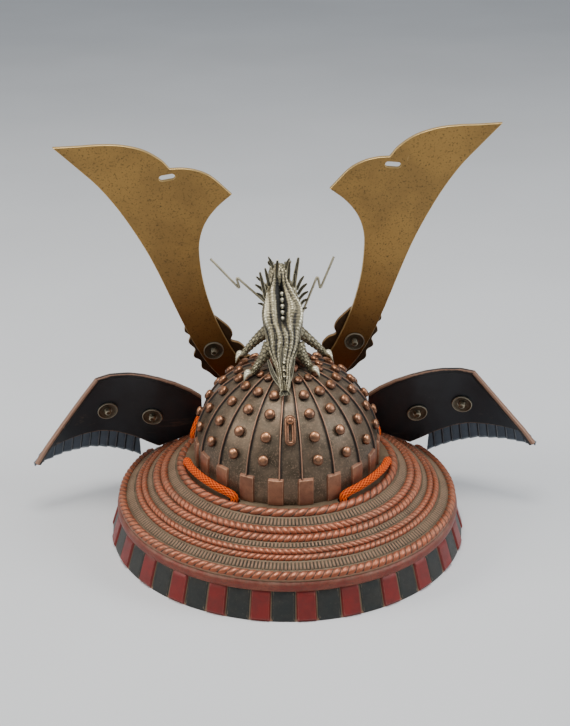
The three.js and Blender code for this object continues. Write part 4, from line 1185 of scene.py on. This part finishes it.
def screw_axes(side, x, z):
    """Where a screw crosses a wing and the direction of its cut end."""
    sideways = wing_point(side, x + 2, z, 0) - wing_point(side, x - 2, z, 0)
    upwards = wing_point(side, x, z + 2, 0) - wing_point(side, x, z - 2, 0)
    back = sideways.cross(upwards).normalized()
    return wing_point(side, x, z, 0), -back if back.y > 0 else back


def turned_forms(profile, seat, direction, sides=40):
    """A turned part about an axis from a seat, from (radius, distance) pairs in millimetres."""
    across = direction.orthogonal().normalized()
    other = direction.cross(across)
    rings = [[seat + direction * (d * MM) + (across * math.cos(2 * math.pi * k / sides)
              + other * math.sin(2 * math.pi * k / sides)) * (r * MM) for k in range(sides)] for r, d in profile]
    return rings


def make_washer(name, node, seat, direction, finish):
    profile = ((2.3, 0.0), (6.1, 0.0), (6.15, 0.35), (6.1, 1.0), (5.9, 1.12), (5.6, 1.1), (5.3, 0.85), (4.6, 0.72),
               (3.2, 0.66), (2.5, 0.6), (2.3, 0.5))
    rings = turned_forms(profile, seat, direction)
    points, _ = tube_forms(rings, capped=False)
    faces = sheet_faces(len(rings), 40, wrap_rows=True, wrap_columns=True)
    make_piece(name, points, faces, finish, (node,), sharp=45)


def make_screw(name, node, middle, direction, head_depth, tail, finish):
    profile = [(0.05, -head_depth - 2.4), (1.6, -head_depth - 2.3), (3.2, -head_depth - 1.95),
               (4.6, -head_depth - 1.3), (5.4, -head_depth - 0.6), (5.7, -head_depth), (1.9, -head_depth)]
    turns = 14
    length = tail + head_depth
    for k in range(turns * 4):
        reach = -head_depth + length * (k + 1) / (turns * 4 + 3)
        profile.append((1.86 if k % 4 in (1, 2) else 1.62, reach))
    profile += [(1.75, tail - 0.35), (1.5, tail - 0.1), (1.1, tail), (0.5, tail + 0.0), (0.05, tail - 0.05)]
    rings = turned_forms(profile, middle, direction, 28)
    points, faces = tube_forms(rings)
    make_piece(name, points, [tuple(reversed(f)) for f in faces], finish, (node,), sharp=40)


for side, word in ((-1, "left"), (1, "right")):
    make_wing(side, word, wing_black, wing_rim)
    make_pleated_strip(side, word, strip_iron)
    for label, x, z in WING_SCREWS:
        crossing, back = screw_axes(side, x, z)
        seat = crossing + back * ((SHEET / 2 + GAP) * MM)
        node = f"{word}_wing_{label}"
        make_washer(f"{node}_cup_washer", f"{node}_washer", seat, back, washer_steel)
        make_screw(f"{node}_threaded_screw", f"{node}_screw", crossing, back, SHEET / 2 + GAP, SHEET / 2 + 3.2,
                   screw_steel)


# ---------------------------------------------------------------------------
# Crest: holder and horns
# ---------------------------------------------------------------------------

CREST_Y, CREST_Z = 58.8, 91.5
CREST_LEAN, CREST_ROLL, CREST_TURN = math.radians(12), math.radians(2), math.radians(2.9)
HORN_SCREW_X = 43.1
HORN_RUNS = (
    (((124.8, 141.4), (112, 141.3), (99.5, 141.5), (87.4, 140.4), (75.7, 136.8), (66.6, 130.5), (61.8, 124.5)), 40),
    (((61.8, 124.5), (54.4, 124.3), (46.5, 122.4), (38.5, 117.8), (27.9, 106.3)), 30),
    (((27.9, 106.3), (36.8, 98.4), (43.6, 89), (47.4, 78), (48.2, 66), (46.4, 46), (41.4, 24), (33.5, 3),
      (26, -12)), 60),
    (((26, -12), (27.5, -21), (34, -25.5), (38.5, -23)), 14),
    (((38.5, -23), (47.4, -9.9), (55.2, 6.5), (62, 25), (71.8, 54.2), (77.8, 70.4), (84.8, 86), (93.2, 102),
      (102.6, 116.3), (113.4, 128.8), (124.8, 141.4)), 60),
)
HOLDER_SCALLOPS = (
    (0, -30), (8, -25), (15, -22), (19, -15), (21, -8), (24.5, -8.5), (23.5, -3), (27, 2), (32, 4.5), (31, 9),
    (33, 14), (38, 19.5), (42, 23), (48, 24.5), (54, 23), (59, 17.5), (60, 13), (57, 9.5), (58, 4.5),
    (54.5, -0.5), (55.5, -6), (51.5, -9.5), (51, -15), (47, -18.5), (43.5, -22.5), (39, -26), (34, -33),
    (27, -38.5), (17, -42), (0, -43.5))

crest_turn = (Matrix.Rotation(CREST_TURN, 3, "Z") @ Matrix.Rotation(-CREST_ROLL, 3, "Y")
              @ Matrix.Rotation(CREST_LEAN, 3, "X"))


def crest_point(across, up, forward):
    return place(0, CREST_Y, CREST_Z) + crest_turn @ Vector((across * MM, forward * MM, up * MM))


def arc_run(x, y, radius, start, end, steps):
    return [(x + radius * math.cos(math.radians(start + (end - start) * k / steps)),
             y + radius * math.sin(math.radians(start + (end - start) * k / steps))) for k in range(steps + 1)]


def plate_mesh(outlines, thickness, bevel):
    """A flat plate with holes and rounded edges, in millimetres, lying in the XY plane."""
    curve = bpy.data.curves.new("plate", "CURVE")
    curve.dimensions = "2D"
    curve.fill_mode = "BOTH"
    curve.extrude = thickness / 2 - bevel
    curve.bevel_depth = bevel
    curve.bevel_resolution = 3
    curve.offset = -bevel
    for outline in outlines:
        spline = curve.splines.new("POLY")
        spline.points.add(len(outline) - 1)
        spline.points.foreach_set("co", [c for x, y in outline for c in (x, y, 0, 1)])
        spline.use_cyclic_u = True
    holder = bpy.data.objects.new("plate", curve)
    bpy.context.scene.collection.objects.link(holder)
    depsgraph = bpy.context.evaluated_depsgraph_get()
    mesh = bpy.data.meshes.new_from_object(holder.evaluated_get(depsgraph))
    bpy.data.objects.remove(holder)
    return mesh


def make_crest_plate(name, node, outlines, thickness, bevel, forward, mirror, finish):
    flat = plate_mesh(outlines, thickness, bevel)
    points = [crest_point((-v.co.x if mirror else v.co.x), v.co.y, forward - v.co.z) for v in flat.vertices]
    faces = [tuple(p.vertices) for p in flat.polygons]
    if mirror:
        faces = [tuple(reversed(f)) for f in faces]
    relief = [0.5 if abs(abs(v.co.z) - thickness / 2) < 1e-4 else 0.8 for v in flat.vertices]
    return make_piece(name, points, faces, finish, (node,), relief, sharp=30)


def horn_outlines():
    edge = []
    for run, steps in HORN_RUNS:
        edge.extend([tuple(p) for p in catmull(run, steps)[:-1]])
    slot_run, half = (9 - 3.4) / 2, 1.7
    c, s = math.cos(math.radians(-8)) * slot_run, math.sin(math.radians(-8)) * slot_run
    slot = arc_run(63.7 + c, 119.4 + s, half, -98, 82, 10) + arc_run(63.7 - c, 119.4 - s, half, 82, 262, 10)
    return [edge, slot, arc_run(HORN_SCREW_X, 0, 2.3, 0, 345, 23)]


def holder_outlines():
    right = [tuple(p) for p in catmull(HOLDER_SCALLOPS, 174)]
    left = [(-x, y) for x, y in reversed(right[1:-1])]
    return [right + left, arc_run(HORN_SCREW_X, 0, 2.3, 0, 345, 23), arc_run(-HORN_SCREW_X, 0, 2.3, 0, 345, 23)]


horn_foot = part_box("right_horn")[0].z
horn_bronze = make_horn_bronze(horn_foot, horn_foot + 0.075)
make_crest_plate("horn_holder_plate", "horn_holder", holder_outlines(), SHEET, 0.5, SHEET + GAP, False,
                 holder_bronze)
for side, word in ((-1, "left"), (1, "right")):
    make_crest_plate(f"{word}_horn_plate", f"{word}_horn", horn_outlines(), SHEET, 0.45, 0, side < 0,
                     horn_bronze)
    middle = crest_point(side * HORN_SCREW_X, 0, 0)
    back = crest_turn @ Vector((0, -1, 0))
    make_washer(f"{word}_horn_cup_washer", f"{word}_horn_washer", middle + back * ((SHEET / 2 + GAP) * MM), back,
                washer_steel)
    make_screw(f"{word}_horn_threaded_screw", f"{word}_horn_screw", middle, back, SHEET * 1.5 + 2 * GAP,
               SHEET / 2 + 3.6, screw_steel)


# ---------------------------------------------------------------------------
# Dragon on the crown
# ---------------------------------------------------------------------------

DRAGON_X = -2.5
DRAGON_BODY = (  # across, ahead, height and radius from the root of the tail to the tip of the snout
    (0, -30, 100.5, 2.4), (0, -24, 104.5, 3.8), (0, -14, 108.5, 5.0), (0, -4, 115, 9.0), (0.2, 5, 123, 10.6),
    (0, 13, 132, 10.2), (-0.6, 18.5, 141, 7.4), (-1.2, 24, 147, 6.2), (-1.2, 33, 147, 6.3), (-1, 44, 141, 4.2),
    (-1, 48, 138.5, 2.6))
DRAGON_LEGS = (  # hip, knee, ankle, then the side that its claws spread to
    {"rows": ((-7, -1, 117, 4.6), (-11, -4, 110.5, 3.4), (-15.5, -6.5, 105, 2.4), (-17.5, -8, 102.5, 2.0)), "side": -1},
    {"rows": ((8, -1, 117, 4.6), (11, -3, 110.5, 3.4), (14.5, -5.5, 105.5, 2.4), (15.5, -7, 103.8, 2.0)), "side": 1},
    {"rows": ((-6, 12, 122, 4.4), (-14, 16, 113.5, 3.2), (-20.5, 17, 106, 2.3), (-22, 17, 103.5, 2.0)), "side": -1},
    {"rows": ((6, 12, 122, 4.4), (15, 16, 113, 3.2), (22.5, 18, 105.5, 2.3), (24.5, 18, 103, 2.0)), "side": 1},
)
MANE = (  # root, tip and width of each spike, about the dragon's own centre line
    ((-9.5, 15, 139), (-12.6, 12, 155.5), 1.7), ((-6.5, 18, 141), (-9.6, 14.5, 157), 1.6),
    ((-3.2, 19, 148), (-2.6, 14, 162), 1.7), ((3.4, 19, 144), (4.2, 15.5, 160.5), 1.7),
    ((6.0, 17, 140), (9.2, 14, 163.3), 2.0), ((7.6, 17, 138), (7.0, 15, 153.5), 1.5),
    ((-8.5, 19, 143), (-14.5, 18.5, 150.5), 1.4), ((-9.5, 19, 140), (-15.2, 19, 145.5), 1.4),
    ((-9.5, 18, 136), (-14.6, 19, 140.5), 1.3), ((-9, 17, 132), (-13.8, 18, 134.5), 1.2),
    ((8.5, 19, 142), (12.4, 18.5, 150.5), 1.4), ((9, 19, 139), (14.2, 18.5, 146), 1.5),
    ((9.5, 18.5, 136), (15, 19, 141), 1.4), ((10, 18, 132.5), (15, 19, 136.5), 1.4),
    ((10, 17, 129), (14.5, 19, 131), 1.3), ((-4, 26, 151), (-7.5, 25, 160), 1.3), ((2, 26, 151), (4.5, 25, 159), 1.3),
)
TAIL_FINS = (  # root, middle, tip and width of the leaf-shaped fins
    ((-1.5, -26, 102), (-5.8, -21.5, 107), (-8.8, -17, 114.5), 2.6),
    ((1.0, -26, 102), (3.6, -21.5, 107), (5.6, -17, 115), 2.6),
    ((-0.5, -21, 106), (-1.2, -16, 112.5), (-0.6, -12, 119.5), 2.8),
    ((-3.0, -12, 111), (-4.6, -8.5, 118), (-4.8, -5.5, 125), 2.4),
    ((3.0, -12, 111), (4.0, -8.5, 118), (4.4, -5.5, 124.5), 2.4),
    ((0, -29, 101.5), (-1.6, -30.2, 99.8), (-2.4, -31.2, 98.9), 2.6),
    ((0, -29, 101.5), (0.4, -30.4, 99.8), (0.6, -31.2, 98.9), 2.4),
    ((0, -29, 101.5), (2.0, -30, 100.0), (3.0, -30.6, 99.4), 2.2),
)
WHISKERS = {
    "left": ((-9.5, 26, 132), (-25.2, 26.5, 147), (-25.8, 26.5, 146.4), (-24.2, 26.5, 141), (-24.9, 26.5, 141.2),
             (-40.5, 27, 158.5)),
    "right": ((12, 26, 125), (20.2, 26.5, 146.6), (21.0, 26.5, 146.8), (22.2, 26.5, 140.4), (22.8, 26.5, 140.8),
              (30, 27, 159)),
}


def dragon_place(x, y, z):
    return place(x + DRAGON_X, y, z)


def scale_height(along, round_share, rows, columns):
    """The lift of overlapping scales: each one rises from under the row above it to its own rounded edge."""
    row = along * rows
    shift = 0.5 * (math.floor(row) % 2)
    across = (round_share * columns + shift) % 1 - 0.5
    down = row % 1
    edge = down - 0.9 * (2 * across) ** 2 * 0.5
    return max(0.0, min(1.0, down * 0.9 + 0.25)) * (1 - min(1.0, (2 * abs(across)) ** 6)) if edge > -0.1 else 0.15


def folded_hide(share, turn):
    """Long uneven folds along the trunk and the tail, with small scales on their crowns and on the head."""
    drift = 0.1 * math.sin(11 * share + 1.3) + 0.07 * math.sin(29 * share + 2.1)
    folds = 0.5 + 0.5 * math.cos(13 * (turn + drift) + 1.2 * math.sin(3 * turn + 17 * share))
    trunk = float(1 - smooth_step(0.66, 0.74, share))
    scales = scale_height(share, turn / (2 * math.pi), 64, 18)
    return (1 - 0.68 * trunk) * scales + 0.68 * trunk * folds ** 0.8


def scaly_limb(parts, rows, sides, steps, depth, scale_rows, scale_columns, shape=None, reach=1.0, hide=None):
    """A limb through rows of (across, ahead, height, radius), with scales and an optional section shape."""
    path = [dragon_place(*p) for p in catmull([r[:3] for r in rows], steps)]
    radii = catmull([(r[3],) for r in rows], steps)
    back = Vector((0, -1, 0.35)).normalized()
    rings, relief = [], []
    for i, centre in enumerate(path):
        share = i / steps
        ahead = (path[min(i + 1, steps)] - path[max(i - 1, 0)]).normalized()
        rear = (back - ahead * back.dot(ahead)).normalized()
        side = ahead.cross(rear)
        ring = []
        for k in range(sides):
            turn = 2 * math.pi * k / sides
            lift = hide(share, turn) if hide else scale_height(share, k / sides, scale_rows, scale_columns)
            swell = shape(share, turn) if shape else 1.0
            radius = (float(radii[i][0]) * swell * reach + depth * (lift - 1)) * MM
            ring.append(centre + (rear * math.cos(turn) + side * math.sin(turn)) * radius)
            relief.append((0.12 if hide else 0.26) + (0.66 if hide else 0.5) * lift + (0.7 * (swell - 1) if shape else 0))
        rings.append(ring)
    points, faces = tube_forms(rings)
    parts.add(points, [tuple(reversed(f)) for f in faces], relief)


def body_section(share, turn):
    """Two rolls of flesh beside a hollow back, between the haunches and the neck."""
    angle = abs((math.degrees(turn) + 180) % 360 - 180)
    amount = float(smooth_step(0.36, 0.46, share) * (1 - smooth_step(0.6, 0.68, share)))
    rolls = 0.26 * math.exp(-((angle - 62) / 24) ** 2)
    hollow = 0.72 * math.exp(-(angle / 20) ** 2)
    return 1 + amount * (rolls - hollow)


def blade(parts, spine, width, thick=0.45, steps=10, flat=Vector((0, -1, 0.3))):
    """A pointed leaf along a spine, with a raised rib down its middle and a groove on each side."""
    path = [dragon_place(*p) for p in catmull(spine, steps)]
    rings, relief = [], []
    for i, centre in enumerate(path):
        share = i / steps
        ahead = (path[min(i + 1, steps)] - path[max(i - 1, 0)]).normalized()
        face = (flat - ahead * flat.dot(ahead)).normalized()
        side = ahead.cross(face)
        half = width / 2 * (0.32 + 0.68 * math.sin(math.pi * min(1.0, 0.3 + share * 0.64)) ** 0.8) * MM
        deep = thick * (1 - 0.35 * share) * MM
        offsets = ((1, 0.25), (0.5, 0.55), (0.14, 0.5), (0, 1.5), (-0.14, 0.5), (-0.5, 0.55), (-1, 0.25),
                   (-0.5, -0.8), (0, -1.0), (0.5, -0.8))
        rings.append([centre + side * (a * half) + face * (b * deep) for a, b in offsets])
        relief.extend((0.85, 0.45, 0.1, 0.95, 0.1, 0.45, 0.85, 0.4, 0.5, 0.4))
    points, faces = tube_forms(rings)
    parts.add(points, faces, relief)


def claw(parts, root, middle, tip, radius):
    path = [dragon_place(*p) for p in catmull((root, middle, tip), 10)]
    rings = sweep_rings(path, lambda share, turn: radius * (1.05 - 0.85 * share ** 1.5) * MM, 10)
    points, faces = tube_forms(rings)
    relief = [0.55 + 0.35 * math.sin(math.pi * (i // 10) / 10) for i in range(len(points))]
    parts.add(points, faces, relief)


def pearl(parts, x, y, z, radius, shine=0.8):
    centre = dragon_place(x, y, z)
    rings = []
    for j in range(1, 8):
        lean = math.pi * j / 8
        rings.append([centre + Vector((math.sin(lean) * math.cos(k * math.pi / 6), math.sin(lean) * math.sin(k * math.pi / 6),
                                       -math.cos(lean))) * (radius * MM) for k in range(12)])
    points, faces = tube_forms(rings)
    parts.add(points, [tuple(reversed(f)) for f in faces], [shine] * len(points))


def make_dragon(finish):
    parts = Parts()
    scaly_limb(parts, DRAGON_BODY, 112, 240, 1.3, 46, 16, body_section, hide=folded_hide)
    for leg in DRAGON_LEGS:
        scaly_limb(parts, leg["rows"], 40, 60, 0.75, 12, 7)
        x, y, z, _ = leg["rows"][-1]
        side = leg["side"]
        for spread, drop in ((-5.0, 0.5), (-1.5, 0.2), (2.6, 0.6)):
            claw(parts, (x, y, z), (x + side * 3.2, y + spread * 0.7, z + 1.0 - drop),
                 (x + side * 5.0, y + spread, z - 3.0 - drop), 1.25)
    for root, tip, width in MANE:
        middle = tuple(0.5 * (a + b) + c for a, b, c in zip(root, tip, (0, 1.2, 0.4)))
        blade(parts, (root, middle, tip), width * 1.35, 0.6)
    for root, middle, tip, width in TAIL_FINS:
        blade(parts, (root, middle, tip), width)
    for share in np.linspace(0, 1, 5):
        pearl(parts, 0, 6.0 + 9.5 * share, 129.5 + 11.5 * share, 1.5, 0.95)
    for share in np.linspace(0, 1, 5):
        pearl(parts, -1.2, 18.2 + 7.0 * share, 148.0 + 4.4 * math.sin(share * 1.6), 0.85, 0.2)
    for share in np.linspace(0, 1, 6):
        y, z = -26 + 24 * share, 105.5 + 14 * share ** 1.4
        blade(parts, ((0, y, z - 1), (0, y - 0.8, z + 1.6), (0, y - 2.2, z + 3.8)), 2.6)
    for side in (-1, 1):
        pearl(parts, -1.1 + side * 4.3, 36.5, 149.5, 1.5, 0.9)
        blade(parts, ((-1.1 + side * 3.4, 38, 151), (-1.1 + side * 5, 33.5, 153), (-1.1 + side * 6.4, 29, 156)), 3.0)
        claw(parts, (-1 + side * 1.8, 44, 137.5), (-1 + side * 2.2, 47, 134.5), (-1 + side * 2.4, 46, 131), 0.9)
        blade(parts, ((-1 + side * 5, 31, 143), (-1 + side * 7.6, 28, 140), (-1 + side * 9.6, 24, 134.5)), 3.4)
    scaly_limb(parts, ((-1, 28, 140, 3.4), (-1, 36, 136, 3.2), (-1, 43, 132.5, 2.2), (-1, 46, 131.5, 1.4)), 24, 40,
               0.3, 12, 8)
    return make_piece("dragon_casting", parts.points, parts.faces, finish, ("dragon",), parts.relief, sharp=70)


def make_whiskers(finish):
    for word, corners in WHISKERS.items():
        path = []
        for a, b in zip(corners, corners[1:]):
            for t in np.linspace(0, 1, 8, endpoint=False):
                path.append(dragon_place(*(p + (q - p) * t for p, q in zip(a, b))))
        path.append(dragon_place(*corners[-1]))
        rings = sweep_rings(path, lambda share, turn: 0.7 * MM, 12)
        points, faces = tube_forms(rings)
        make_piece(f"dragon_{word}_whisker_wire", points, faces, finish, (f"dragon_{word}_whisker",),
                   sharp=60)


make_dragon(dragon_pewter)
make_whiskers(whisker_wire)


# ---------------------------------------------------------------------------
# Apex seat, back ring and its pin
# ---------------------------------------------------------------------------


def make_apex_seat(finish):
    """Ribbed petals that lie round the crown under the dragon."""
    parts = Parts()
    petals = 8
    for k in range(petals):
        middle = 360 * k / petals + 180 / petals
        grid, relief = [], []
        for r in range(15):
            v = r / 14
            for c in range(13):
                u = c / 12 * 2 - 1
                half = 21.5 * math.sqrt(max(0.0, 1 - (v * 1.02) ** 6)) / max(0.25, v)
                angle = middle + u * min(half, 22.4)
                polar = 2 + 10.6 * v * (1 - 0.12 * u * u)
                flute = 0.22 * math.cos(u * math.pi * 3.5)
                lift = 0.4 + 3.0 * math.sqrt(max(0.0, 1 - abs(u) ** 4)) * (1 - v ** 7) + flute * v
                grid.append(dome_point(angle, polar, lift))
                relief.append(0.45 + flute * 1.4 + 0.2 * (1 - abs(u)) * v)
        parts.add(grid, sheet_faces(15, 13), relief)
    make_piece("apex_petals", parts.points, parts.faces, finish, ("apex_seat",), parts.relief, sharp=60)


RING_POLAR, RING_LENGTH, RING_WIDTH, RING_ROD, RING_LIFT = 53, 17.2, 6.4, 1.3, 2.2


def make_back_ring(finish):
    out, side, up = skin_axes(0, RING_POLAR)
    middle = dome_point(0, RING_POLAR, RING_LIFT)
    half = (RING_WIDTH - 2 * RING_ROD) / 2
    run = (RING_LENGTH - RING_WIDTH) / 2
    path = []
    for end in (1, -1):
        for k in range(17):
            turn = math.pi * k / 16
            path.append(middle + side * (end * half * math.cos(turn) * MM) + up * (-end * (run + half * math.sin(turn)) * MM))
        for t in np.linspace(0.1, 0.9, 9):
            path.append(middle - side * (end * half * MM) + up * (-end * run * (1 - 2 * t) * MM))
    count = len(path)
    points = []
    for i, centre in enumerate(path):
        ahead = (path[(i + 1) % count] - path[i - 1]).normalized()
        across = out.cross(ahead)
        for k in range(14):
            turn = 2 * math.pi * k / 14
            points.append(centre + (out * math.cos(turn) + across * math.sin(turn)) * (RING_ROD * MM))
    faces = sheet_faces(count, 14, True, True)
    make_piece("back_ring_loop", points, faces, finish, ("back_ring",), [0.7] * len(points), sharp=180)
    reach = run + half - RING_ROD - 0.95
    foot = dome_point(0, RING_POLAR, 0) + up * (reach * MM)
    profile = ((0.05, 0.3), (0.75, 0.32), (0.75, 3.6), (1.5, 3.75), (1.95, 4.1), (1.9, 4.7), (1.4, 5.2), (0.7, 5.5),
               (0.05, 5.6))
    rings = turned_forms(profile, foot, out, 24)
    points, faces = tube_forms(rings)
    make_piece("ring_pin_head", points, [tuple(reversed(f)) for f in faces], finish, ("ring_pin",),
               sharp=50)


make_apex_seat(tab_copper)
make_back_ring(rivet_copper)


# ---------------------------------------------------------------------------
# Visor
# ---------------------------------------------------------------------------

VISOR_SPREAD, VISOR_REACH, VISOR_DROP = 58, 27, 9


def make_visor(finish):
    """The plain curved plate at the front, rounded at its rim and cut back to the neck guard."""
    lips = ((-0.15, 0), (0, -0.55), (-0.15, -1.1))
    rings = []
    columns = 120
    for k in range(columns + 1):
        angle = 180 - VISOR_SPREAD + k / columns * 2 * VISOR_SPREAD
        along = (angle - 180) / VISOR_SPREAD
        reach = 7 + (VISOR_REACH - 7) * math.sqrt(max(0.0, 1 - along * along * 0.9))
        stops = [(-3, 0), (0, 0), (3, 0), (6, 0)]
        stops += [(6 + (reach - 6) * t, VISOR_DROP * (0.72 * t + 0.28 * t * t)) for t in (0.2, 0.4, 0.6, 0.8, 0.95)]
        top = [wall_point(angle, LEDGE - drop, lift) for lift, drop in stops]
        rim = [wall_point(angle, LEDGE - VISOR_DROP + y, reach + x) for x, y in lips[:2]]
        bottom = [p - Vector((0, 0, SHEET * MM)) for p in reversed(top)]
        ring = top + rim + bottom
        rings.append([Vector((p.x, max(p.y, (GUARD_FRONT + GAP + axis_y) * MM), p.z)) for p in ring])
    points, faces = tube_forms(rings)
    piece = make_piece("visor_plate", points, [tuple(reversed(f)) for f in faces], finish, ("visor",), sharp=40)
    drill_cord_holes(piece)


make_visor(bowl_copper)
